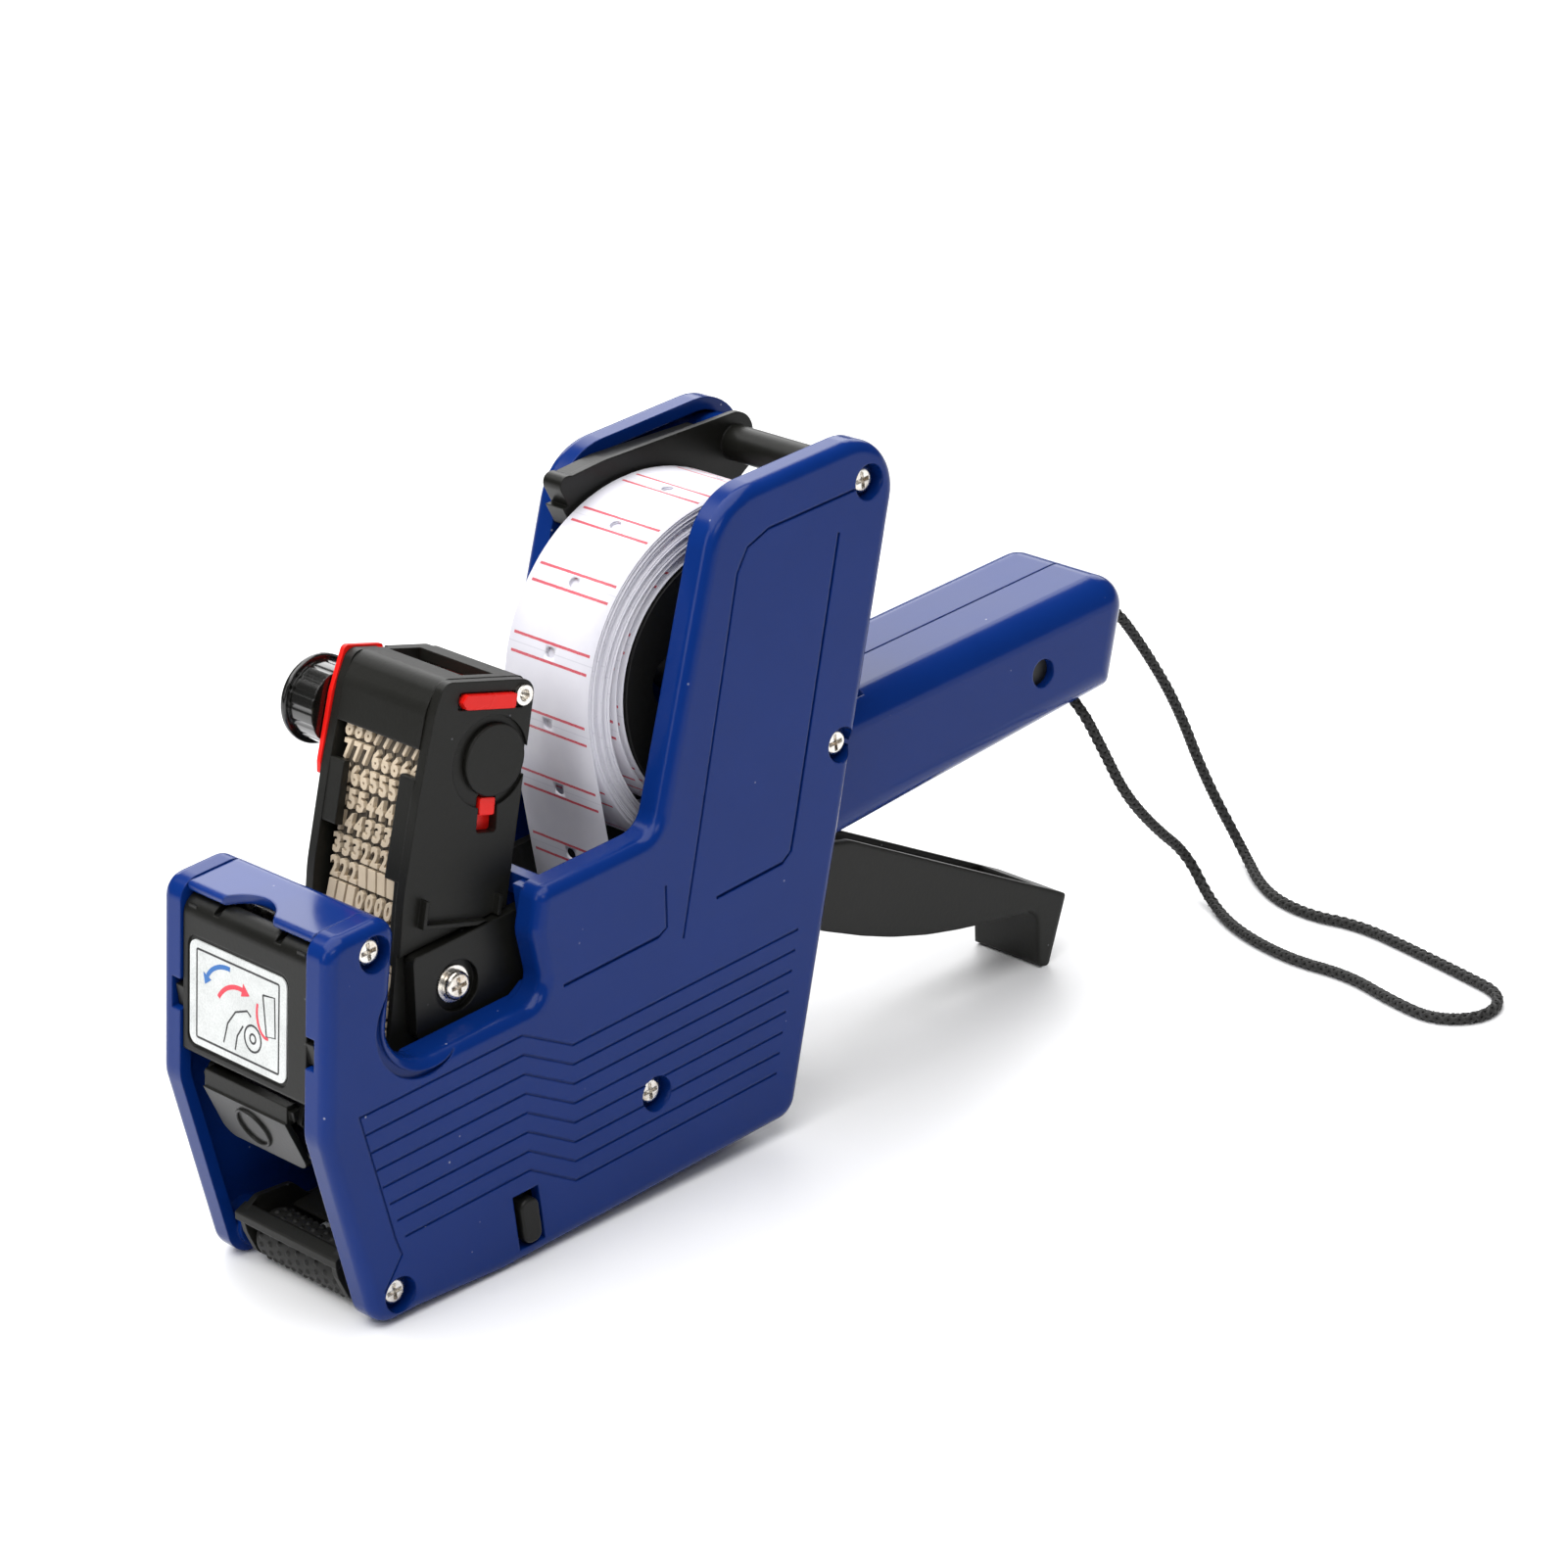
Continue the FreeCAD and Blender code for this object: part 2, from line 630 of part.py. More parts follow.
def return_spring():
    """Close-wound torsion spring on the right pivot pin, with one leg on the shell and one on the arm."""
    coil_r = 4.0
    wire_r = 0.42
    first_y = 14.55
    coils = []
    for turn in range(2):
        centre = Vector(PIVOT[0], first_y + turn * wire_r * 1.9, PIVOT[1])
        coils.append(Part.makeTorus(coil_r, wire_r, centre, Vector(0, 1, 0)))
    inner_leg = Part.makeCylinder(
        wire_r,
        9.0,
        Vector(PIVOT[0], first_y, PIVOT[1] + coil_r),
        Vector(-1, 0, 0),
    )
    outer_y = first_y + wire_r * 1.9
    outer_leg = Part.makeCylinder(
        wire_r,
        8.0,
        Vector(PIVOT[0], outer_y, PIVOT[1] - coil_r),
        Vector(-1, 0, -0.3),
    )
    return fuse(coils[0], coils[1], inner_leg, outer_leg)


# ---- print head ---------------------------------------------------------------------------------
def head_cheek(y_inner, y_outer):
    """Cheek on the +Y side, thinned where the print arm lies against it."""
    cheek = head_plate(
        [(-11.4, -8.6, 1.5), (5.0, -8.9, 0.5), (5.0, -9.7, 0.5), (49.2, -9.9, 2.6), (49.2, 8.7, 2.2),
         (44.0, 10.0, 6.0), (30.0, 11.2, 30.0), (14.0, 11.8, 30.0), (4.0, 11.0, 6.0), (-11.4, 10.2, 1.5)],
        y_inner,
        y_outer,
    )
    arm_seat = plate([(4.0, 28.0), (4.0, 56.3), (48.0, 56.3), (48.0, 28.0)], 11.4, y_outer + 1.0)
    cheek = cheek.cut(arm_seat).cut(rod(HEAD_SCREW, 1.3, 9.0, 13.0))
    return cheek.cut(rod(head_point(*HEAD_PIN), 1.7, 9.0, 14.0))


def head_cheek_left():
    """Left cheek, with its front plate, the dish of the cap, the slider's slot and the bar's seat."""
    cheek = mirrored(head_cheek(CHEEK_INNER, CHEEK_OUTER))
    front = head_plate([(16.5, 9.8), (16.5, 11.7, 0.4), (33.5, 11.0, 0.4), (33.5, 9.8)], -10.6, -7.0)
    front_low = head_plate([(3.0, 9.8), (3.0, 11.0, 0.4), (18.0, 11.6, 0.4), (18.0, 9.8)], -10.6, -9.3)
    shape = fuse(cheek, front, front_low)
    face = -CHEEK_OUTER
    dish = rod(head_point(36.0, -2.6), 7.6, face - 1.0, face + 0.6)
    slot = head_plate(
        [(24.4, -5.6, 0.6), (30.6, -5.0, 0.6), (30.6, -1.2, 0.6), (24.4, -1.4, 0.6)],
        face - 1.0,
        -9.0,
    )
    bar_seat = head_plate([(44.6, -8.0, 0.4), (47.4, -8.0, 0.4), (47.4, 5.4, 0.4), (44.6, 5.4, 0.4)],
                          face - 1.0, face + 0.7)
    shape = shape.cut(dish).cut(slot).cut(bar_seat)
    ribs = [head_plate([(9.6, -7.6), (9.6, 8.2), (10.3, 8.2), (10.3, -7.6)], face - RIB_HEIGHT, face + 0.1)]
    for forward in (8.2, -6.9):
        end_rib = [(9.6, forward), (14.2, forward), (14.2, forward - 0.7), (9.6, forward - 0.7)]
        ribs.append(head_plate(end_rib, face - RIB_HEIGHT, face + 0.1))
    above_arm = plate([(0.0, 56.3), (0.0, 120.0), (60.0, 120.0), (60.0, 56.3)], -20.0, 0.0)
    return fuse(shape, fuse(*ribs).common(above_arm))


def head_cheek_right():
    """Right cheek, with its front plate and the way through for the indicator's bar."""
    cheek = head_cheek(CHEEK_INNER, CHEEK_OUTER)
    front = head_plate([(21.5, 9.8), (21.5, 11.4, 0.4), (32.0, 11.0, 0.4), (32.0, 9.8)], 7.0, 10.6)
    bar_way = head_plate([(45.1, -0.5), (47.35, -0.5), (47.35, 2.7), (45.1, 2.7)], 9.0, 13.0)
    tab_way = head_plate([(45.1, 1.0), (50.0, 1.0), (50.0, 2.9), (45.1, 2.9)], 11.4, 13.0)
    return fuse(cheek, front).cut(bar_way).cut(tab_way).cut(rod(head_point(*DRIVE), 1.1, 9.0, 14.0))


def head_cover():
    """Top cover of the head: roof with the selector window, and the plate above the bands."""
    roof = head_plate(
        [(49.3, -9.4, 1.6), (49.3, 8.2, 3.2), (44.5, 10.3, 6.0), (38.0, 10.7, 0.3), (38.0, 9.75, 0.3),
         (43.5, 9.7, 1.0), (46.6, 7.4, 1.6), (47.4, 5.0, 1.0), (47.4, -8.2, 0.8), (44.0, -8.3, 0.3),
         (44.0, -9.5, 0.4)],
        -10.35,
        10.35,
    )
    window = head_plate([(45.0, -4.2), (52.0, -4.2), (52.0, 2.3), (45.0, 2.3)], -8.6, 9.6)
    return roof.cut(window).cut(rod(head_point(*HEAD_PIN), 1.7, -12.0, 12.0))


def type_wheel(index):
    y0 = band_y(index) + 0.05
    return ring(head_point(*WHEEL), 4.4, 1.6, y0, y0 + BAND_WIDTH - 0.1)


def band_y(index):
    """Left face of one type band."""
    return -BAND_PITCH * BAND_COUNT / 2.0 + index * BAND_PITCH + (BAND_PITCH - BAND_WIDTH) / 2.0


def type_band(index):
    """Rubber type band looped over its wheel and the type block."""
    y0 = band_y(index)
    y1 = y0 + BAND_WIDTH
    outer = head_plate(
        [(-11.9, 0.4, 2.0), (-11.9, 9.5, 2.0), (43.9, 9.6, 4.4), (43.9, -4.5, 6.6), (30.0, -4.6, 12.0)],
        y0,
        y1,
    )
    inner = head_plate(
        [(-10.3, 2.0, 1.0), (-10.3, 7.9, 1.0), (42.5, 8.2, 3.0), (42.5, -3.1, 5.3), (30.0, -3.2, 12.0)],
        y0 - 1.0,
        y1 + 1.0,
    )
    return outer.cut(inner)


def type_block():
    """Bar inside the bands that backs the type when it prints."""
    block = head_plate(
        [(-10.2, 2.2, 0.9), (-10.2, 7.7, 0.9), (-3.0, 7.6, 0.5), (-3.0, 2.3, 0.5)],
        -10.3,
        10.3,
    )
    feet = []
    for side in (-1, 1):
        y0, y1 = sorted((side * 9.75, side * 10.3))
        feet.append(
            head_plate([(-4.0, 2.3), (-4.0, 7.6), (6.0, 7.0, 1.0), (6.0, -6.0, 1.0), (-2.0, -6.0)], y0, y1),
        )
    return fuse(block, *feet).cut(rod(HEAD_SCREW, 1.3, -12.0, 12.0))


def selector_knob():
    """Fluted knob with a flange at its outer end."""
    at = head_point(*DRIVE)
    drum = rod(at, KNOB_R, 13.6, 19.6)
    flute_r = 1.45
    flute_reach = KNOB_R + 1.33
    flutes = []
    for i in range(KNOB_FLUTES):
        angle = 2.0 * math.pi * i / KNOB_FLUTES + math.radians(10.0)
        spot = (at[0] + flute_reach * math.cos(angle), at[1] + flute_reach * math.sin(angle))
        flutes.append(rod(spot, flute_r, 12.0, 19.7))
    drum = drum.cut(Part.makeCompound(flutes))
    flange = rod(at, KNOB_FLANGE_R, 19.5, 20.7)
    rim_length = 2.0 * math.pi * KNOB_FLANGE_R
    flange = round_edges(flange, 0.45, lambda e, m: abs(e.Length - rim_length) < 0.5)
    return fuse(drum, flange).cut(rod(at, 1.0, 9.0, 19.0))


def selector_shaft():
    """Shaft of the knob, with the small drive gear that turns one type wheel at a time."""
    at = head_point(*DRIVE)
    return rod(at, 1.0, -10.2, 19.0)


def selector_indicator():
    """Red plate beside the knob and the red pointer bar under the window, one bent piece."""
    side = head_plate(
        [(49.5, 9.0, 1.0), (49.5, 1.0, 0.5), (31.5, 8.6, 0.4), (28.0, 10.9, 0.3), (30.5, 11.3, 1.0),
         (42.0, 10.6, 4.0)],
        12.45,
        13.4,
    )
    side = side.cut(rod(head_point(*DRIVE), 1.1, 10.0, 14.0))
    reach = head_plate([(45.4, -0.2), (47.1, -0.2), (47.1, 2.2), (45.4, 2.2)], -8.4, 12.6)
    tab = head_plate([(45.4, 1.3), (49.0, 1.3), (49.0, 2.6), (45.4, 2.6)], 11.7, 13.0)
    return fuse(side, reach, tab)


def head_cap():
    """Round cap on the left cheek, lying in its dish."""
    cap = rod(head_point(36.3, -3.4), 6.0, -CHEEK_OUTER - 0.35, -CHEEK_OUTER + 0.6)
    return round_edges(cap, 0.3, lambda e, m: m.y < -CHEEK_OUTER - 0.3)


def head_pin():
    """Steel pin through the top of the head, hollow at its left end."""
    at = head_point(*HEAD_PIN)
    return rod(at, 1.69, -12.9, 12.2).cut(rod(at, 0.95, -14.0, -11.4))


def head_slider():
    """Sliding lock behind the left cheek, with a tab that shows in its slot."""
    body = head_plate([(22.5, -6.4), (22.5, -0.6), (31.5, -0.4), (31.5, -6.2)], -10.33, -9.68)
    tab = head_plate(
        [(27.2, -4.9, 0.4), (27.2, -1.8, 0.4), (30.1, -1.6, 0.4), (30.1, -4.7, 0.4)],
        -12.1,
        -10.2,
    )
    return fuse(body, tab)


def head_lock_bar():
    """Red bar let into the left cheek beside the steel pin."""
    outer = -CHEEK_OUTER - 0.9
    return head_plate(
        [(44.8, -5.7, 0.4), (44.8, 4.2, 0.2), (45.9, 5.2, 0.2), (47.2, 4.4, 0.3), (47.2, -5.7, 0.4)],
        outer,
        -CHEEK_OUTER + 0.68,
    )


# ---- label supply -------------------------------------------------------------------------------
def roll_hub():
    """Spool that carries the label roll, dropped on its two stub axles."""
    rim = ring(ROLL, ROLL_CORE_R - 0.1, ROLL_CORE_R - 2.0, -10.5, 10.5)
    web = rod(ROLL, ROLL_CORE_R - 1.0, -10.5, -8.9)
    for i in range(5):
        angle = math.radians(72.0 * i + 20.0)
        spot = (ROLL[0] + 12.4 * math.cos(angle), ROLL[1] + 12.4 * math.sin(angle))
        web = web.cut(rod(spot, 4.6, -12.0, -8.0))
    boss = rod(ROLL, 5.4, -10.8, 10.8)
    axle = rod(ROLL, 3.0, -14.6, 14.6)
    return fuse(rim, web, boss, axle)


def roll_cradle_right():
    """Bracket on the middle rear screw with an open slot that the hub's axle drops into."""
    foot = SCREWS["middle_rear"]
    arm = plate(
        [
            (foot[0] + 2.5, foot[1] - 2.5, 2.4),
            (foot[0] + 2.9, foot[1] + 5.0, 2.0),
            (ROLL[0] + 6.4, ROLL[1] + 5.0, 2.0),
            (ROLL[0] - 6.4, ROLL[1] + 5.0, 2.0),
            (ROLL[0] - 6.4, ROLL[1] - 6.4, 5.0),
            (ROLL[0] + 2.0, ROLL[1] - 7.0, 4.0),
            (foot[0] - 3.2, foot[1] - 2.5, 2.4),
        ],
        12.6,
        14.1,
    )
    slot = fuse(
        rod(ROLL, 3.08, 12.0, 16.0),
        box(ROLL[0] - 3.08, ROLL[0] + 3.08, 12.0, 16.0, ROLL[1], ROLL[1] + 9.0),
    )
    return arm.cut(slot).cut(rod(foot, 1.35, 12.0, 16.0))


def roll_yoke():
    """Hinged yoke over the roll: cross tube, two arms, and the thumb tab on the right arm."""
    tube = rod(YOKE, 3.1, -14.2, 14.2)
    arm_points = [
        (YOKE[0] + 4.4, YOKE[1] - 4.0, 4.0),
        (YOKE[0] + 4.2, YOKE[1] + 5.0, 4.0),
        (88.0, 110.6, 3.0),
        (79.0, 110.2, 1.2),
        (78.4, 108.0, 1.0),
        (79.6, 105.4, 2.0),
        (84.0, 104.0, 8.0),
        (88.0, 80.0, 2.0),
        (95.6, 79.2, 2.0),
        (99.0, 88.0, 14.0),
    ]
    right = plate(arm_points, 11.2, 12.4)
    left = plate(
        [
            (YOKE[0] + 4.4, YOKE[1] - 4.0, 4.0),
            (YOKE[0] + 4.2, YOKE[1] + 5.0, 4.0),
            (104.0, 108.0, 3.0),
            (103.0, 103.0, 2.0),
            (109.0, 96.0, 4.0),
        ],
        -12.4,
        -11.2,
    )
    top_rib = plate(
        [(YOKE[0] - 6.0, 107.8, 0.6), (YOKE[0] - 6.0, 109.0, 0.5), (88.4, 110.6, 2.0), (79.5, 110.2, 1.0),
         (79.8, 108.8, 0.5), (88.0, 109.2, 2.0)],
        11.2,
        15.4,
    )
    thumb = plate([(77.1, 110.8, 1.6), (81.0, 110.4, 1.0), (81.5, 104.9, 0.8), (79.4, 104.9, 0.6)], 11.2, 15.6)
    thumb_step = plate([(77.9, 105.4), (81.5, 105.4), (81.0, 101.4, 0.6), (79.4, 101.4, 0.8)], 11.2, 15.6)
    shape = fuse(tube, right, left, top_rib, thumb, thumb_step)
    return shape.cut(rod(YOKE, 1.6, -20.0, 20.0))


def tangent_point(start, centre, radius):
    """Where a line from start touches the front of a circle behind it."""
    across = centre[0] - start[0]
    up = centre[1] - start[1]
    reach = math.hypot(across, up)
    direction = math.atan2(up, across) + math.asin(radius / reach)
    length = math.sqrt(reach * reach - radius * radius)
    return start[0] + length * math.cos(direction), start[1] + length * math.sin(direction)


def label_strip():
    """Backing strip as straight and curved stretches one sheet thick."""
    y = LABEL_HALF
    inner_r = FEED_R + 0.12
    outer_r = inner_r + STRIP
    touch = tangent_point((FEED[0] + outer_r, FEED[1]), ROLL, ROLL_R + 0.05)
    fall = plate(
        [
            (touch[0] - STRIP, touch[1]),
            touch,
            (FEED[0] + outer_r, FEED[1]),
            (FEED[0] + inner_r, FEED[1]),
        ],
        -y,
        y,
    )
    wrap = ring(FEED, outer_r, inner_r, -y, y).common(
        box(FEED[0], FEED[0] + 12.0, -y - 1, y + 1, FEED[1] - 12.0, FEED[1])
    )
    floor = FEED[1] - outer_r
    lay = plate(
        [
            (FEED[0], floor),
            (FEED[0], floor + STRIP),
            (44.5, BED + 0.03 + STRIP, 8.0),
            (14.0, BED + 0.03 + STRIP),
            (14.0, BED + 0.03),
            (44.5, BED + 0.03, 8.0),
        ],
        -y,
        y,
    )
    return fuse(fall, wrap, lay)


def feed_wheel():
    wheel = ring(FEED, FEED_R, 3.06, -8.0, 8.0)
    lightening = []
    for i in range(6):
        angle = math.radians(60.0 * i)
        spot = (FEED[0] + 5.1 * math.cos(angle), FEED[1] + 5.1 * math.sin(angle))
        lightening.append(rod(spot, 1.2, -9.0, 9.0))
    return wheel.cut(Part.makeCompound(lightening))


def feed_pawl():
    """Rocking pawl arm beside the feed wheel."""
    arm = plate(
        [(FEED[0] - 4.6, FEED[1] - 2.5, 2.3), (FEED[0] - 9.2, FEED[1] + 8.0, 1.6),
         (FEED[0] - 5.6, FEED[1] + 10.6, 1.6),
         (FEED[0] + 4.6, FEED[1] + 3.0, 3.0), (FEED[0] + 2.5, FEED[1] - 4.6, 3.0)],
        8.3,
        10.4,
    )
    return arm.cut(rod(FEED, 3.06, 7.0, 12.0))


# ---- underside ----------------------------------------------------------------------------------
def bottom_cover():
    half = RIM_INNER - 0.4
    shape = plate([(12.0, 0.9, 0.4), (80.0, 0.4, 0.8), (80.0, 2.4, 0.8), (12.0, 2.6, 0.4)], -half, half)
    knuckle = rod(COVER_PIN, 2.2, -half, half)
    joiner = box(79.0, 81.4, -half, half, 0.75, 2.2)
    sockets = []
    for side in (-1, 1):
        y0, y1 = sorted((side * 14.3, side * (half - 0.05)))
        sockets.append(box(33.2, 35.2, y0, y1, 2.0, 10.6))
        sockets.append(box(21.2, 23.2, y0, y1, 2.0, 10.6))
    shape = fuse(shape, knuckle, joiner, *sockets)
    return shape.cut(rod(COVER_PIN, 1.05, -20.0, 20.0))


def cover_latch_right():
    """Rounded push tab that shows in the side slot and holds the bottom cover shut."""
    tab = plate([(25.0, 3.0, 1.6), (28.8, 3.0, 1.6), (28.8, 10.9, 1.6), (25.0, 10.9, 1.6)], 16.0, 22.2)
    tab = round_edges(tab, 0.5, lambda e, m: m.y > 22.1)
    return fuse(tab, box(23.6, 32.8, 14.5, 16.1, 3.0, 10.4))


# ---- screws -------------------------------------------------------------------------------------
def cross_head_screw(at, y_head, length, head_r, side):
    """Pan-head screw with a cross recess; side is -1 where its head faces the user's left."""
    head = rod(at, head_r, y_head - 1.5, y_head)
    head = round_edges(head, 0.7, lambda e, m: m.y > y_head - 0.05 and e.Length > 3.0)
    shank = rod(at, 1.2, y_head - length, y_head - 1.4)
    arm = head_r * 0.62
    cross = [
        box(at[0] - arm, at[0] + arm, y_head - 0.9, y_head + 1.0, at[1] - 0.32, at[1] + 0.32),
        box(at[0] - 0.32, at[0] + 0.32, y_head - 0.9, y_head + 1.0, at[1] - arm, at[1] + arm),
    ]
    screw = fuse(head, shank).cut(Part.makeCompound(cross))
    return mirrored(screw) if side < 0 else screw


def shell_screws():
    """Screws of both shells, heads sunk in their round recesses."""
    solids = []
    for name, at in SCREWS.items():
        length = 5.4 if name in ("front_bottom", "top_rear") else 7.4
        for side in (-1, 1):
            solids.append(cross_head_screw(at, SCREW_TOP, length, 2.3, side))
    return Part.makeCompound(solids)


# ---- wrist cord ---------------------------------------------------------------------------------
# The cord lies on the table in one loop, so its route is given where the gun stands, not tilted.
CORD_ROUTE = [
    (83.2, 0.0, 60.5),
    (92.5, 0.0, 61.4),
    (103.0, -0.3, 59.6),
    (112.0, 0.2, 47.5),
    (119.8, 0.0, 34.0),
    (125.8, -0.6, 17.5),
    (131.6, -4.5, 1.6),
    (121.6, -18.5, CORD_R),
    (118.9, -31.0, CORD_R),
    (121.6, -42.0, CORD_R),
    (119.6, -56.0, CORD_R),
    (117.4, -69.5, CORD_R),
    (115.4, -80.2, CORD_R),
    (107.0, -83.6, CORD_R),
    (100.4, -77.2, CORD_R),
    (101.6, -66.5, CORD_R),
    (104.6, -54.0, CORD_R),
    (103.0, -41.5, CORD_R),
    (105.8, -26.5, CORD_R),
    (111.6, -14.6, 1.2),
    (113.2, -7.4, 8.6),
    (103.4, -9.2, 17.4),
    (94.6, -10.5, 27.5),
    (89.2, -10.5, 38.5),
    (84.2, -10.0, 48.8),
    (80.8, -2.8, 57.4),
]


def cord_tube(points, radius):
    """Round tube of straight runs joined by tangent arcs as large as the runs allow."""
    nodes = [Vector(*p) for p in points]
    edges = []
    at = nodes[0]
    smallest = 1e9
    for i in range(1, len(nodes) - 1):
        back = nodes[i - 1] - nodes[i]
        ahead = nodes[i + 1] - nodes[i]
        shorter = min(back.Length, ahead.Length)
        turn = math.pi - back.getAngle(ahead)
        bend = 0.45 * shorter / math.tan(turn / 2.0)
        start, middle, end = corner_arc(nodes[i - 1], nodes[i], nodes[i + 1], bend)
        smallest = min(smallest, bend)
        edges.append(Part.LineSegment(at, start).toShape())
        edges.append(Part.Arc(start, middle, end).toShape())
        at = end
    edges.append(Part.LineSegment(at, nodes[-1]).toShape())
    path = Part.Wire(edges)
    along = (nodes[1] - nodes[0]).normalize()
    section = Part.Wire([Part.makeCircle(radius, nodes[0], along)])
    tube = path.makePipeShell([section], True, True)
    print("cord length", round(path.Length, 1), "least radius", round(smallest, 1),
          "volume ratio", round(tube.Volume / (math.pi * radius ** 2 * path.Length), 4))
    return tube


# ---- assembly -----------------------------------------------------------------------------------
def stand(shape):
    """Tilt a piece from the level frame to how the gun stands, and move it to the origin."""
    placed = shape.copy()
    placed.rotate(Vector(0, 0, 0), Vector(0, 1, 0), -TILT)
    placed.translate(Vector(-ORIGIN_X, 0, -ORIGIN_Z))
    return placed


def pieces():
    right = shell_right()
    arm = lever_arm_right()
    latch = cover_latch_right()
    found = {
        "left_shell": mirrored(right),
        "right_shell": right,
        "nose_bridge": nose_bridge(),
        "shell_screws": shell_screws(),
        "screw_spacers": Part.makeCompound(
            [ring(SCREWS["front_top"], 2.2, 1.3, -15.9, 15.9), ring(FEED, 3.0, 1.3, -12.9, 12.9)]
        ),
        "ink_cover": ink_cover(),
        "ink_cover_card": ink_label(),
        "ink_arm": ink_arm(),
        "nose_pins": Part.makeCompound(
            [both_sides(rod(ARM_PIVOT, 1.2, 11.0, 18.7)), both_sides(rod(COVER_HINGE, 0.9, 12.7, 18.7))]
        ),
        "ink_roller": ring(INK, INK_R, 3.5, -9.4, 9.4),
        "ink_core": ring(INK, 3.45, 1.55, -10.6, 10.6),
        "ink_axle": rod(INK, 1.48, -12.6, 12.6),
        "platen": platen(),
        "applicator_roller": applicator_roller(),
        "applicator_axle": rod(ROLLER, 1.25, -14.0, 14.0),
        "label_guide_clip": label_guide_clip(),
        "trigger": trigger(),
        "left_print_arm": mirrored(arm),
        "right_print_arm": arm,
        "trigger_shafts": Part.makeCompound(
            [rod(LEVER_SHAFT, 2.48, -14.0, 14.0), rod(LEVER_TIE, 1.98, -14.0, 14.0)]
        ),
        "pivot_pins": both_sides(rod(PIVOT, 2.5, 11.9, 18.6)),
        "return_spring": return_spring(),
        "head_cheek_left": head_cheek_left(),
        "head_cheek_right": head_cheek_right(),
        "head_cover": head_cover(),
        "head_pin": head_pin(),
        "type_block": type_block(),
        "head_screws": Part.makeCompound(
            [
                both_sides(cross_head_screw(HEAD_SCREW, 14.55, 4.6, 2.4, 1)),
                both_sides(ring(HEAD_SCREW, 3.1, 1.3, 12.7, 13.05)),
            ]
        ),
        "head_cap": head_cap(),
        "head_slider": head_slider(),
        "head_lock_bar": head_lock_bar(),
        "type_wheels": Part.makeCompound([type_wheel(i) for i in range(BAND_COUNT - 1)]),
        "driven_type_wheel": type_wheel(BAND_COUNT - 1),
        "wheel_axle": rod(head_point(*WHEEL), 1.55, -10.35, 10.35),
        "selector_knob": selector_knob(),
        "selector_shaft": selector_shaft(),
        "selector_indicator": selector_indicator(),
        "roll_hub": roll_hub(),
        "label_roll": ring(ROLL, ROLL_R, ROLL_CORE_R, -LABEL_HALF, LABEL_HALF),
        "label_strip": label_strip(),
        "roll_cradles": both_sides(roll_cradle_right()),
        "roll_yoke": roll_yoke(),
        "yoke_pin": rod(YOKE, 1.55, -14.3, 14.3),
        "feed_wheel": feed_wheel(),
        "feed_pawl": feed_pawl(),
        "bottom_cover": bottom_cover(),
        "bottom_cover_pin": rod(COVER_PIN, 1.0, -17.0, 17.0),
        "left_cover_latch": mirrored(latch),
        "right_cover_latch": latch,
        "cord_pin": rod(CORD_PIN, 2.57, -HANDLE_HALF + 1.7, HANDLE_HALF - 1.7),
    }
    for i in range(BAND_COUNT):
        found["type_band_%d" % (i + 1)] = type_band(i)
    return found


def main():
    os.makedirs("parts", exist_ok=True)
    low = Vector(1e9, 1e9, 1e9)
    high = Vector(-1e9, -1e9, -1e9)
    standing = {name: stand(shape) for name, shape in pieces().items()}
    for name, placed in standing.items():
        if not placed.isValid():
            print("NOT VALID", name)
        box_of = placed.BoundBox
        low = Vector(min(low.x, box_of.XMin), min(low.y, box_of.YMin), min(low.z, box_of.ZMin))
        high = Vector(max(high.x, box_of.XMax), max(high.y, box_of.YMax), max(high.z, box_of.ZMax))
        placed.exportStep("parts/%s.step" % name)
    knot = Part.makeSphere(KNOT_R, Vector(*KNOT))
    knot.exportStep("parts/cord_knot.step")
    cord_tube(CORD_ROUTE, CORD_R).cut(knot).exportStep("parts/wrist_cord.step")
    print("box", [round(v, 3) for v in low], [round(v, 3) for v in high])
    print("middle x", round((low.x + high.x) / 2.0, 4), "tilt", round(TILT, 3))


main()
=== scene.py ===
"""Looks of the price labeling gun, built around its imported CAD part.

Pieces are drawn in the gun's level design frame in millimetres, as the CAD source draws them, and
place() tilts them and turns them into metres, as the gun stands.
"""

import bisect
import math

import bmesh
import bpy
from mathutils import Matrix, Vector


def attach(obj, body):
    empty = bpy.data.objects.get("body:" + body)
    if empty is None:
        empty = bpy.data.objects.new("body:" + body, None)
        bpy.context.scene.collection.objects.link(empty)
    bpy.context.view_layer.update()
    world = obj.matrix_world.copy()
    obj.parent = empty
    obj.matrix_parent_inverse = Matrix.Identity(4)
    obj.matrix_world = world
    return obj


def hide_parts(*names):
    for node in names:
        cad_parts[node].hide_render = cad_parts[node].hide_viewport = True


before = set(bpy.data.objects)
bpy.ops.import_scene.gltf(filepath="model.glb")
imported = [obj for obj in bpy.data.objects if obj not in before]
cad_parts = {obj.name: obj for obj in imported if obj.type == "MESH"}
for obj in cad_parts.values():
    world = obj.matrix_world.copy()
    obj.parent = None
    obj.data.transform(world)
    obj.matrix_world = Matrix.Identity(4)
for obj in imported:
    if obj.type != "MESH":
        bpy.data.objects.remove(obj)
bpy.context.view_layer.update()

# ---- the gun's own frames ------------------------------------------------------------------------
MM = 0.001
TILT = math.atan2(7.0, 137.9)
ORIGIN_X = 83.352
ORIGIN_Z = 20.9 * math.sin(TILT)
HEAD_SCREW = (24.9, 48.1)
HEAD_LEAN = math.radians(18.4)
ROLL = (91.0, 76.3)
ROLL_R = 30.6
LABEL_HALF = 10.75
FEED = (56.1, 17.0)
FEED_R = 7.3
BED = 9.4
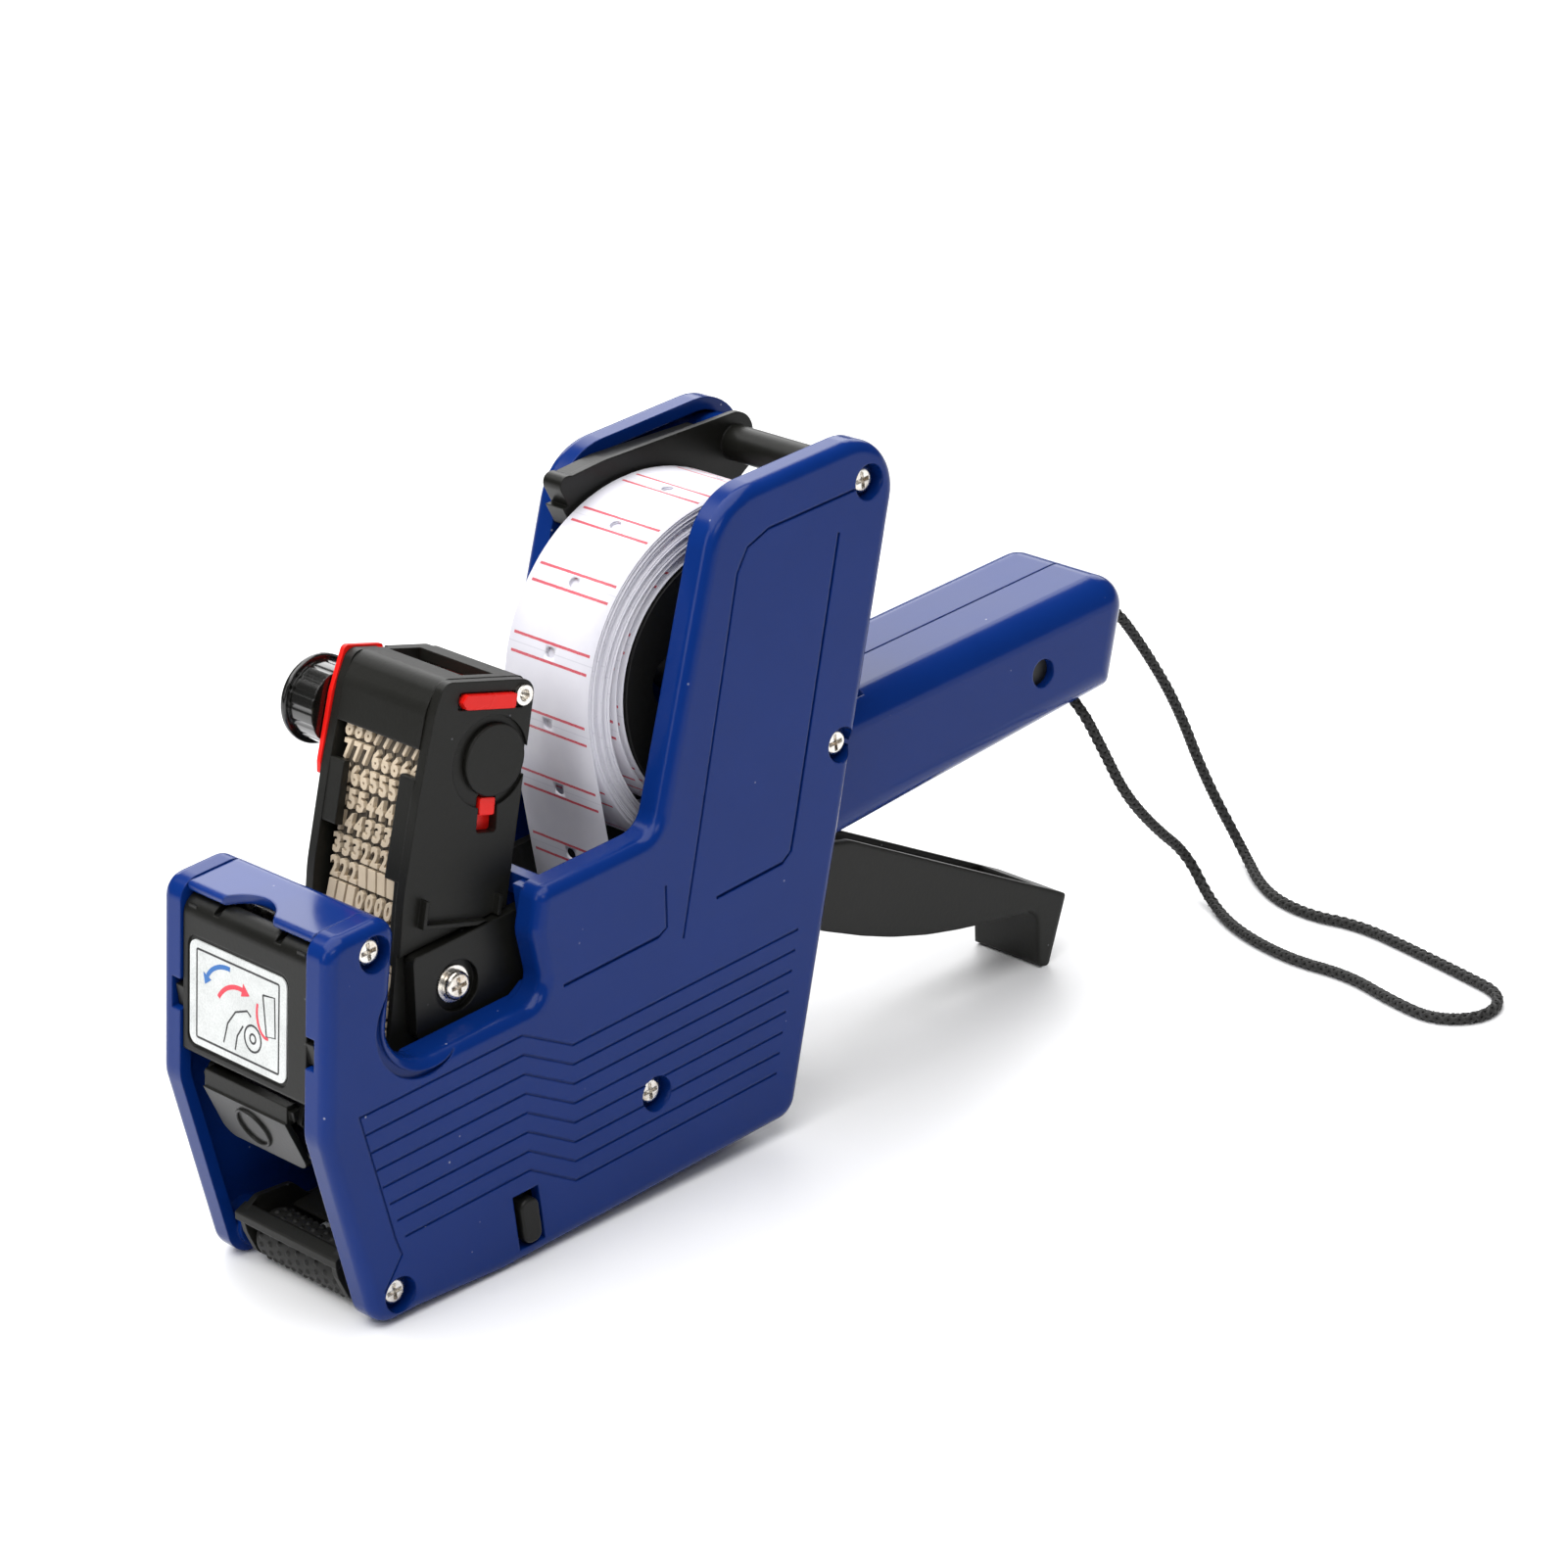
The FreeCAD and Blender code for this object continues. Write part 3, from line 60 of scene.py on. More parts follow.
ROLLER = (0.0, 5.9)
CORD_R = 1.05


def running_lengths(points):
    """Distance along a line of points at each of them."""
    runs = [0.0]
    for a, b in zip(points, points[1:]):
        runs.append(runs[-1] + math.dist(a, b))
    return runs


def place(x, y, z):
    """A design point in millimetres as a point of the standing gun in metres."""
    return Vector((
        (x * math.cos(TILT) - z * math.sin(TILT) - ORIGIN_X) * MM,
        y * MM,
        (x * math.sin(TILT) + z * math.cos(TILT) - ORIGIN_Z) * MM,
    ))


def head_xz(up, forward):
    """Design X and Z of a point on the leaning print head."""
    x = HEAD_SCREW[0] + up * math.sin(HEAD_LEAN) - forward * math.cos(HEAD_LEAN)
    z = HEAD_SCREW[1] + up * math.cos(HEAD_LEAN) + forward * math.sin(HEAD_LEAN)
    return x, z


# ---- camera --------------------------------------------------------------------------------------
def look_axis(x, y, z):
    """A camera axis measured in the design frame, tilted with the gun."""
    return Vector((x * math.cos(TILT) - z * math.sin(TILT), y, x * math.sin(TILT) + z * math.cos(TILT)))


right = look_axis(0.72769504, -0.67826438, -0.10206549)
down = look_axis(-0.35637638, -0.24673934, -0.90117455)
ahead = look_axis(0.58605102, 0.69215398, -0.42126839)
camera_data = bpy.data.cameras.new("camera")
camera_data.lens = 114.9
camera_data.sensor_width = 36.0
camera_data.clip_end = 20.0
camera = bpy.data.objects.new("camera", camera_data)
bpy.context.scene.collection.objects.link(camera)
camera.matrix_world = Matrix((
    (right.x, -down.x, -ahead.x, -0.49375),
    (right.y, -down.y, -ahead.y, -0.5895),
    (right.z, -down.z, -ahead.z, 0.3839),
    (0.0, 0.0, 0.0, 1.0),
))
bpy.context.scene.camera = camera


# ---- materials -----------------------------------------------------------------------------------
class Graph:
    """Adds and links the nodes of one material; its textures are laid out by the object's own position."""

    def __init__(self, name):
        self.material = bpy.data.materials.new(name)
        self.material.use_nodes = True
        self.tree = self.material.node_tree
        self.shader = self.tree.nodes["Principled BSDF"]
        self.at = self.add("ShaderNodeTexCoord").outputs["Object"]

    def add(self, kind):
        return self.tree.nodes.new(kind)

    def link(self, out, into):
        self.tree.links.new(out, into)

    def math(self, operation, a, b=None, clamp=False):
        node = self.add("ShaderNodeMath")
        node.operation = operation
        node.use_clamp = clamp
        for socket, value in zip(node.inputs, (a, b)):
            if value is None:
                continue
            if isinstance(value, (int, float)):
                socket.default_value = value
            else:
                self.link(value, socket)
        return node.outputs[0]

    def noise(self, scale, detail=3.0, rough=0.55, stretch=None, turn=(0.0, 0.0, 0.0)):
        node = self.add("ShaderNodeTexNoise")
        node.inputs["Scale"].default_value = scale
        node.inputs["Detail"].default_value = detail
        node.inputs["Roughness"].default_value = rough
        vector = self.at
        if stretch is not None:
            mapping = self.add("ShaderNodeMapping")
            mapping.inputs["Scale"].default_value = stretch
            mapping.inputs["Rotation"].default_value = turn
            self.link(self.at, mapping.inputs["Vector"])
            vector = mapping.outputs["Vector"]
        self.link(vector, node.inputs["Vector"])
        return node.outputs["Fac"]

    def cells(self, scale):
        node = self.add("ShaderNodeTexVoronoi")
        node.inputs["Scale"].default_value = scale
        self.link(self.at, node.inputs["Vector"])
        return node.outputs["Distance"]

    def rounded(self, radius):
        """Normal that rounds off the edges."""
        node = self.add("ShaderNodeBevel")
        node.samples = 4
        node.inputs["Radius"].default_value = radius * MM
        return node.outputs["Normal"]

    def spread(self, value, low, high, from_low=0.3, from_high=0.7):
        node = self.add("ShaderNodeMapRange")
        node.inputs["From Min"].default_value = from_low
        node.inputs["From Max"].default_value = from_high
        node.inputs["To Min"].default_value = low
        node.inputs["To Max"].default_value = high
        self.link(value, node.inputs["Value"])
        return node.outputs["Result"]

    def mix(self, share, a, b):
        node = self.add("ShaderNodeMix")
        node.data_type = "RGBA"
        for socket, value in ((node.inputs[0], share), (node.inputs[6], a), (node.inputs[7], b)):
            if isinstance(value, (int, float)):
                socket.default_value = value
            elif isinstance(value, tuple):
                socket.default_value = (*value, 1.0)
            else:
                self.link(value, socket)
        return node.outputs[2]

    def bump(self, height, distance, strength=1.0, normal=None):
        node = self.add("ShaderNodeBump")
        node.inputs["Distance"].default_value = distance
        node.inputs["Strength"].default_value = strength
        self.link(height, node.inputs["Height"])
        if normal is not None:
            self.link(normal, node.inputs["Normal"])
        return node.outputs["Normal"]

    def surface(self, colour, rough, normal=None, **plain):
        """The finished material; plain settings name sockets, with _ for a space."""
        self.link(colour, self.shader.inputs["Base Color"])
        self.link(rough, self.shader.inputs["Roughness"])
        if normal is not None:
            self.link(normal, self.shader.inputs["Normal"])
        for key, value in plain.items():
            self.shader.inputs[key.replace("_", " ")].default_value = value
        return self.material


def shade(colour, factor):
    return tuple(min(1.0, c * factor) for c in colour)


DUST = (0.62, 0.64, 0.7)
DUST_SCALE = 210.0
SCUFF_ROUGHNESS = 0.06


def moulded(name, colour, rough, edge=0.35, grain=0.012, grain_scale=1400.0, specks=0.0, coat=0.0, worn=1.5,
            tint=0.12, ior=1.5):
    """Moulded plastic or rubber: rounded edges, faint mottling, fine grain, scuffs and dust specks."""
    g = Graph(name)
    rounding = g.rounded(edge)
    dot = g.add("ShaderNodeVectorMath")
    dot.operation = "DOT_PRODUCT"
    g.link(rounding, dot.inputs[0])
    g.link(g.add("ShaderNodeNewGeometry").outputs["Normal"], dot.inputs[1])
    on_edge = g.spread(dot.outputs["Value"], 1.0, 0.0, 0.8, 0.99)
    mottle = g.noise(45.0, 4.0)
    base = g.mix(g.spread(mottle, 0.0, 1.0), shade(colour, 1.0 - tint), shade(colour, 1.0 + tint))
    wear = g.spread(g.noise(320.0, 5.0), 0.0, 0.55, 0.45, 0.68)
    base = g.mix(g.math("MULTIPLY", on_edge, wear, True), base, shade(colour, worn))
    scratch = g.spread(g.noise(1.0, 5.0, 0.7, (60.0, 300.0, 1500.0), (0.5, 0.3, 0.2)), 0.0, 1.0, 0.6, 0.75)
    roughness = g.math("ADD", g.spread(mottle, rough - 0.04, rough + 0.05),
                       g.math("MULTIPLY", scratch, SCUFF_ROUGHNESS))
    if specks > 0.0:
        speck = g.spread(g.cells(DUST_SCALE), specks, 0.0, 0.0, 0.055)
        kept = g.spread(g.noise(90.0, 1.0), 0.0, 1.0, 0.5, 0.56)
        base = g.mix(g.math("MULTIPLY", speck, kept, True), base, DUST)
    waves = g.bump(g.noise(160.0, 2.0), 0.02 * MM, 0.35, rounding)
    normal = g.bump(g.noise(grain_scale, 2.0), grain * MM, 1.0, waves)
    return g.surface(base, roughness, normal, IOR=ior, Coat_Weight=coat, Coat_Roughness=0.08)


def steel(name):
    """Nickel-plated steel with turning marks and slight tarnish."""
    g = Graph(name)
    tarnish = g.spread(g.noise(380.0, 4.0), 0.0, 1.0, 0.45, 0.75)
    marks = g.noise(1.0, 2.0, stretch=(5200.0, 160.0, 5200.0))
    return g.surface(g.mix(tarnish, (0.86, 0.83, 0.78), (0.55, 0.46, 0.36)),
                     g.spread(g.noise(900.0), 0.16, 0.34),
                     g.bump(marks, 0.004 * MM, 0.5, g.rounded(0.25)), Metallic=1.0)


LABEL_PITCH = 12.0        # one label to the next, along the strip
LINE_GAP = 3.05           # between the two red lines of a pair
LINE_WIDTH = 0.48
LINE_HALF = 9.4
CUT_HALF = 0.09
LABEL_RED = (0.60, 0.008, 0.035)


def label_paper(name, printed=1.0):
    """White label stock: paired red lines, die cuts and paper fibre, laid out along the strip by its UV."""
    g = Graph(name)
    split = g.add("ShaderNodeSeparateXYZ")
    g.link(g.add("ShaderNodeUVMap").outputs["UV"], split.inputs[0])
    run = g.math("MULTIPLY", split.outputs["X"], 1.0 / MM)
    across = g.math("ABSOLUTE", g.math("MULTIPLY", split.outputs["Y"], 1.0 / MM))
    wobble = g.math("MULTIPLY", g.math("SUBTRACT", g.noise(900.0, 2.0), 0.5), 0.12)
    cell = g.math("PINGPONG", run, LABEL_PITCH / 2.0)
    off_line = g.math("ABSOLUTE", g.math("SUBTRACT", g.math("ADD", cell, wobble), LINE_GAP / 2.0))
    on_line = g.math("LESS_THAN", off_line, LINE_WIDTH / 2.0)
    red_share = g.math("MULTIPLY", on_line, g.math("LESS_THAN", across, LINE_HALF))
    cut = g.math("MULTIPLY", g.math("LESS_THAN", cell, CUT_HALF), 0.3)
    fibre = g.noise(5200.0, 4.0, 0.7)
    white = g.mix(g.spread(g.noise(120.0), 0.0, 1.0), (0.74, 0.73, 0.80), (0.80, 0.79, 0.85))
    marked = g.mix(cut, white, (0.45, 0.45, 0.52))
    ink = g.math("MULTIPLY", red_share, g.spread(fibre, 0.75 * printed, printed))
    return g.surface(g.mix(ink, marked, LABEL_RED), g.spread(fibre, 0.42, 0.58), g.bump(fibre, 0.012 * MM, 0.5))


def card_stock(name):
    """Glossy white card with faint fibre."""
    g = Graph(name)
    cloud = g.noise(240.0)
    return g.surface(g.mix(g.spread(cloud, 0.0, 1.0), (0.57, 0.59, 0.58), (0.68, 0.70, 0.69)),
                     g.spread(g.noise(2500.0), 0.22, 0.34), g.bump(cloud, 0.03 * MM, 0.5),
                     Coat_Weight=0.4, Coat_Roughness=0.12)


def ink_print(name, colour):
    """Printing ink, slightly uneven over the card."""
    g = Graph(name)
    spots = g.noise(4200.0)
    return g.surface(g.mix(g.spread(spots, 0.0, 1.0), shade(colour, 0.85), shade(colour, 1.25)),
                     g.spread(spots, 0.3, 0.45), g.bump(spots, 0.004 * MM))


def foam(name):
    """Ink-soaked felt roller."""
    g = Graph(name)
    cloud = g.noise(260.0, 4.0)
    return g.surface(g.mix(g.spread(cloud, 0.0, 1.0), (0.006, 0.006, 0.012), (0.03, 0.025, 0.05)),
                     g.spread(cloud, 0.35, 0.8), g.bump(g.cells(2200.0), 0.12 * MM, 0.8))


def clear_plastic(name):
    """Milky clear plastic."""
    g = Graph(name)
    cloud = g.noise(300.0)
    return g.surface(g.mix(g.spread(cloud, 0.0, 1.0), (0.66, 0.70, 0.76), (0.82, 0.85, 0.88)),
                     g.spread(g.noise(1500.0, 2.0), 0.12, 0.24), g.bump(cloud, 0.05 * MM, 0.4),
                     Transmission_Weight=0.45, IOR=1.49)


def braid_fibre(name):
    """Black nylon yarn with fine fibres along the strands."""
    g = Graph(name)
    fibre = g.noise(7000.0, 3.0, 0.7)
    colour = g.mix(g.spread(fibre, 0.0, 1.0), (0.003, 0.003, 0.003), (0.013, 0.0125, 0.011))
    dusty = g.mix(g.spread(g.noise(500.0), 0.0, 0.25, 0.55, 0.75), colour, (0.03, 0.029, 0.026))
    return g.surface(dusty, g.spread(fibre, 0.5, 0.75), g.bump(fibre, 0.05 * MM, 0.8),
                     Sheen_Weight=0.08, Sheen_Roughness=0.4)


BLUE = (0.0022, 0.0235, 0.160)
BLACK = (0.0075, 0.0075, 0.0062)
RED = (0.82, 0.012, 0.008)
BEIGE = (0.62, 0.51, 0.37)
blue = moulded("blue_shell", BLUE, 0.17, edge=0.4, grain=0.003, specks=0.8, worn=1.5, tint=0.05, ior=1.28)
blue_bridge = moulded("blue_bridge", shade(BLUE, 1.08), 0.13, edge=0.7, grain=0.002, specks=0.3, worn=1.4,
                      ior=1.45)
black = moulded("black_part", BLACK, 0.34, edge=0.35, grain=0.012, specks=0.22, worn=2.6, ior=1.31)
black_matt = moulded("black_matt", shade(BLACK, 1.25), 0.42, edge=0.3, grain=0.02, specks=0.25, worn=2.4,
                     ior=1.31)
black_gloss = moulded("black_gloss", shade(BLACK, 0.55), 0.14, edge=0.4, grain=0.003, coat=0.6, worn=1.8)
trigger_black = moulded("trigger_black", shade(BLACK, 1.25), 0.42, edge=1.3, grain=0.02, specks=0.25, worn=1.6,
                        ior=1.33)
# Painted shade: the black plastic darkened to 0.7 for the roll hub and cord pin, which sit inside the gun.
painted_shade_black = moulded("painted_shade_black", shade(BLACK, 0.7), 0.45, edge=0.3, grain=0.02)
rubber = moulded("rubber_black", shade(BLACK, 1.1), 0.62, edge=0.3, grain=0.03, worn=1.6)
red = moulded("red_part", RED, 0.3, edge=0.3, grain=0.006, worn=1.1, tint=0.06, ior=1.32)
beige = moulded("beige_type", BEIGE, 0.55, edge=0.18, grain=0.014, grain_scale=2600.0, worn=1.35, tint=0.16)
beige_base = moulded("beige_inked", shade(BEIGE, 0.12), 0.6, edge=0.15, grain=0.014, grain_scale=2600.0,
                     tint=0.3)
metal = steel("steel_part")
paper = label_paper("label_paper")
paper_plain = label_paper("label_paper_plain", 0.0)
card = card_stock("card_stock")
black_ink = ink_print("black_ink", (0.012, 0.012, 0.014))
blue_ink = ink_print("blue_ink", (0.01, 0.13, 0.42))
red_ink = ink_print("red_ink", (0.68, 0.03, 0.06))
felt = foam("ink_felt")
clear = clear_plastic("clear_part")
yarn = braid_fibre("cord_yarn")

NODES_OF = (
    (blue, "left_shell right_shell"),
    (blue_bridge, "nose_bridge"),
    (metal, "shell_screws screw_spacers nose_pins ink_axle applicator_axle trigger_shafts pivot_pins"),
    (metal, "return_spring head_pin head_screws wheel_axle yoke_pin bottom_cover_pin selector_shaft"),
    (black, "ink_cover ink_arm left_print_arm right_print_arm roll_cradles roll_yoke"),
    (black, "left_cover_latch right_cover_latch"),
    (black_matt, "ink_core platen head_cheek_left head_cheek_right head_cover type_block head_cap type_wheels"),
    (black_matt, "driven_type_wheel feed_wheel feed_pawl bottom_cover"),
    (black_gloss, "selector_knob"),
    (trigger_black, "trigger"),
    (painted_shade_black, "roll_hub cord_pin"),
    (red, "head_slider head_lock_bar selector_indicator"),
    (beige, "type_band_1 type_band_2 type_band_3 type_band_4 type_band_5 type_band_6 type_band_7 type_band_8"),
    (card, "ink_cover_card"),
    (felt, "ink_roller"),
    (clear, "label_guide_clip"),
    (yarn, "cord_knot wrist_cord"),
    (paper, "label_roll label_strip"),
    (rubber, "applicator_roller"),
)
NODE_MATERIALS = {node_name: material for material, names in NODES_OF for node_name in names.split()}


def paint(obj, material):
    obj.data.materials.clear()
    obj.data.materials.append(material)


for node_name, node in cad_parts.items():
    for index in range(len(node.material_slots)):
        node.material_slots[index].material = NODE_MATERIALS[node_name]
    if not node.material_slots:
        node.data.materials.append(NODE_MATERIALS[node_name])


# ---- mesh helpers --------------------------------------------------------------------------------
def piece(name, verts, faces, body, material, uv=None, smooth=True, replaces=()):
    """A finished mesh piece from points in metres, riding on a body."""
    mesh = bpy.data.meshes.new(name)
    mesh.from_pydata([tuple(v) for v in verts], [], faces)
    if uv is not None:
        layer = mesh.uv_layers.new(name="strip")
        for loop in mesh.loops:
            layer.data[loop.index].uv = uv[loop.vertex_index]
    cleaner = bmesh.new()
    cleaner.from_mesh(mesh)
    if uv is None:
        bmesh.ops.remove_doubles(cleaner, verts=cleaner.verts, dist=1e-7)
    bmesh.ops.recalc_face_normals(cleaner, faces=cleaner.faces)
    cleaner.to_mesh(mesh)
    cleaner.free()
    for polygon in mesh.polygons:
        polygon.use_smooth = smooth
    obj = bpy.data.objects.new(name, mesh)
    bpy.context.scene.collection.objects.link(obj)
    if smooth:
        mesh.set_sharp_from_angle(angle=math.radians(38.0))
    paint(obj, material)
    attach(obj, body)
    if replaces:
        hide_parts(*replaces)
    return obj


def rounded_path(corners, step):
    """Points of a closed outline of (a, b, radius) corners, its rounds cut into chords of about a step."""
    points = []
    count = len(corners)
    for i, (a, b, radius) in enumerate(corners):
        here = Vector((a, b))
        back = (Vector(corners[i - 1][:2]) - here).normalized()
        fore = (Vector(corners[(i + 1) % count][:2]) - here).normalized()
        half = back.angle(fore) / 2.0
        centre = here + (back + fore).normalized() * (radius / math.sin(half))
        reach = radius / math.tan(half)
        start = here + back * reach - centre
        turn = start.angle_signed(here + fore * reach - centre)
        chords = max(2, int(abs(turn) * radius / step))
        for k in range(chords + 1):
            angle = -turn * k / chords
            points.append(centre + Vector((
                start.x * math.cos(angle) - start.y * math.sin(angle),
                start.x * math.sin(angle) + start.y * math.cos(angle),
            )))
    return points


# ---- wrist cord ----------------------------------------------------------------------------------
# The route is drawn as the gun stands, in millimetres, from the handle's end, over the floor and back.
CORD_ROUTE = [
    (83.2, 0.0, 60.5), (92.5, 0.0, 61.4), (103.0, -0.3, 59.6), (112.0, 0.2, 47.5), (119.8, 0.0, 34.0),
    (125.8, -0.6, 17.5), (131.6, -4.5, 1.6), (121.6, -18.5, CORD_R), (118.9, -31.0, CORD_R),
    (121.6, -42.0, CORD_R), (119.6, -56.0, CORD_R), (117.4, -69.5, CORD_R), (115.4, -80.2, CORD_R),
    (107.0, -83.6, CORD_R), (100.4, -77.2, CORD_R), (101.6, -66.5, CORD_R), (104.6, -54.0, CORD_R),
    (103.0, -41.5, CORD_R), (105.8, -26.5, CORD_R), (111.6, -14.6, 1.2), (113.2, -7.4, 8.6),
    (103.4, -9.2, 17.4), (94.6, -10.5, 27.5), (89.2, -10.5, 38.5), (84.2, -10.0, 48.8), (80.8, -2.8, 57.4),
]


def spline_line(points_mm):
    """Points read from the route's smooth NURBS line, in metres."""
    curve = bpy.data.curves.new("route", "CURVE")
    curve.dimensions = "3D"
    curve.resolution_u = 24
    spline = curve.splines.new("NURBS")
    spline.points.add(len(points_mm) - 1)
    for point, at in zip(spline.points, points_mm):
        point.co = (at[0] * MM, at[1] * MM, at[2] * MM, 1.0)
    spline.order_u = 3
    spline.use_endpoint_u = True
    holder = bpy.data.objects.new("route", curve)
    line = bpy.data.meshes.new_from_object(holder)
    found = [v.co.copy() for v in line.vertices]
    bpy.data.objects.remove(holder)
    return found


def frames_along(line):
    """Unit side and up vectors carried along a line without twist."""
    side = Vector((0, 1, 0))
    made = []
    for i, at in enumerate(line):
        along = (line[min(i + 1, len(line) - 1)] - line[max(i - 1, 0)]).normalized()
        side = (side - along * side.dot(along)).normalized()
        made.append((side.copy(), along.cross(side)))
    return made


BRAID_STRANDS = 8
BRAID_PITCH = 7.2 * MM
BRAID_STEP = 0.42 * MM
STRAND_R = 0.3 * MM
STRAND_INSET = 0.06 * MM
STRAND_FLATNESS = 1.5
CORE_R = 0.62 * MM
WEAVE = 0.09 * MM         # how far a yarn rises and dips as it crosses the others
WEAVES_PER_PITCH = 4.0


def braided_cord():
    """Braid of eight yarns round a core, along the route."""
    line = spline_line(CORD_ROUTE)
    dense = []
    for a, b in zip(line, line[1:]):
        parts = max(1, round((b - a).length / BRAID_STEP))
        dense.extend(a.lerp(b, k / parts) for k in range(parts))
    dense.append(line[-1])
    sides = frames_along(dense)
    run = running_lengths(dense)
    verts = []
    faces = []

    def tube(path, radius, count):
        first = len(verts)
        for (at, u, v) in path:
            for k in range(count):
                angle = 2.0 * math.pi * k / count
                verts.append(at + u * (radius * math.cos(angle)) + v * (radius * math.sin(angle)))
        for i in range(len(path) - 1):
            for k in range(count):
                a = first + i * count + k
                b = first + i * count + (k + 1) % count
                faces.append((a, b, b + count, a + count))
        faces.append(tuple(range(first, first + count)))
        last = first + (len(path) - 1) * count
        faces.append(tuple(range(last, last + count)))

    tube([(dense[i], *sides[i]) for i in range(0, len(dense), 2)], CORE_R, 10)
    for strand in range(BRAID_STRANDS):
        way = 1.0 if strand % 2 else -1.0
        phase = 2.0 * math.pi * strand / BRAID_STRANDS
        path = []
        for i, at in enumerate(dense):
            turn = 2.0 * math.pi * run[i] / BRAID_PITCH
            angle = way * turn + phase
            weave = WEAVE * math.cos(WEAVES_PER_PITCH * turn + way * math.pi / 2.0)
            u, v = sides[i]
            outward = u * math.cos(angle) + v * math.sin(angle)
            around = v * math.cos(angle) - u * math.sin(angle)
            off_middle = CORD_R * MM - STRAND_R - STRAND_INSET + weave
            path.append((at + outward * off_middle, outward, around * STRAND_FLATNESS))
        tube(path, STRAND_R, 5)
    cord = piece("wrist_cord_braid", verts, faces, "casing", yarn, replaces=("wrist_cord",))


braided_cord()


# ---- floor and light -----------------------------------------------------------------------------
def floor():
    half = 6.0
    corners = [(-half, -half, 0), (half, -half, 0), (half, half, 0), (-half, half, 0)]
    mesh = bpy.data.meshes.new("floor")
    mesh.from_pydata(corners, [], [(0, 1, 2, 3)])
    obj = bpy.data.objects.new("floor", mesh)
    bpy.context.scene.collection.objects.link(obj)
    g = Graph("floor_card")
    cloud = g.spread(g.noise(6.0), 0.0, 1.0)
    obj.data.materials.append(g.surface(g.mix(cloud, (0.90, 0.90, 0.905), (0.93, 0.93, 0.935)),
                                        g.spread(g.noise(90.0), 0.42, 0.5)))


def area_light(name, at, target, size, power):
    data = bpy.data.lights.new(name, "AREA")
    data.shape = "RECTANGLE"
    data.size, data.size_y = size
    data.energy = power
    obj = bpy.data.objects.new(name, data)
    obj.location = at
    obj.rotation_euler = (Vector(target) - Vector(at)).to_track_quat("-Z", "Y").to_euler()
    bpy.context.scene.collection.objects.link(obj)


floor()
area_light("top_soft", (-0.25, 0.1, 1.3), (0, 0, 0.04), (2.0, 1.8), 40.0)
area_light("back_soft", (1.15, 1.35, 0.95), (0, 0, 0.05), (2.2, 1.1), 22.0)
area_light("left_soft", (-1.7, 0.15, 0.8), (0, 0, 0.05), (0.5, 1.0), 5.0)
area_light("front_soft", (-0.9, -1.5, 1.2), (0, 0, 0.05), (0.8, 0.5), 5.0)
world = bpy.data.worlds.new("studio")
world.use_nodes = True
backdrop = world.node_tree.nodes["Background"]
backdrop.inputs["Color"].default_value = (0.97, 0.98, 1.0, 1.0)
backdrop.inputs["Strength"].default_value = 0.12
bpy.context.scene.world = world
bpy.context.scene.view_settings.view_transform = "Standard"


# ---- label roll and strip ------------------------------------------------------------------------
HOLE = (0.95, 1.1)        # half sizes of the punched hole, along and across the strip
HOLE_CELL = 2.4           # length of the strip's cell that holds a hole
HOLE_ROW_HALF = 1.5       # half width of the row of cells
HOLE_POINTS = 16
FIRST_HOLE = 6.0          # along the strip from its free end
PAPER_HALF = LABEL_HALF - 0.35
PAPER_THICK = 0.2
HOLE_ROW = 1              # which of the three rows across the strip holds the holes


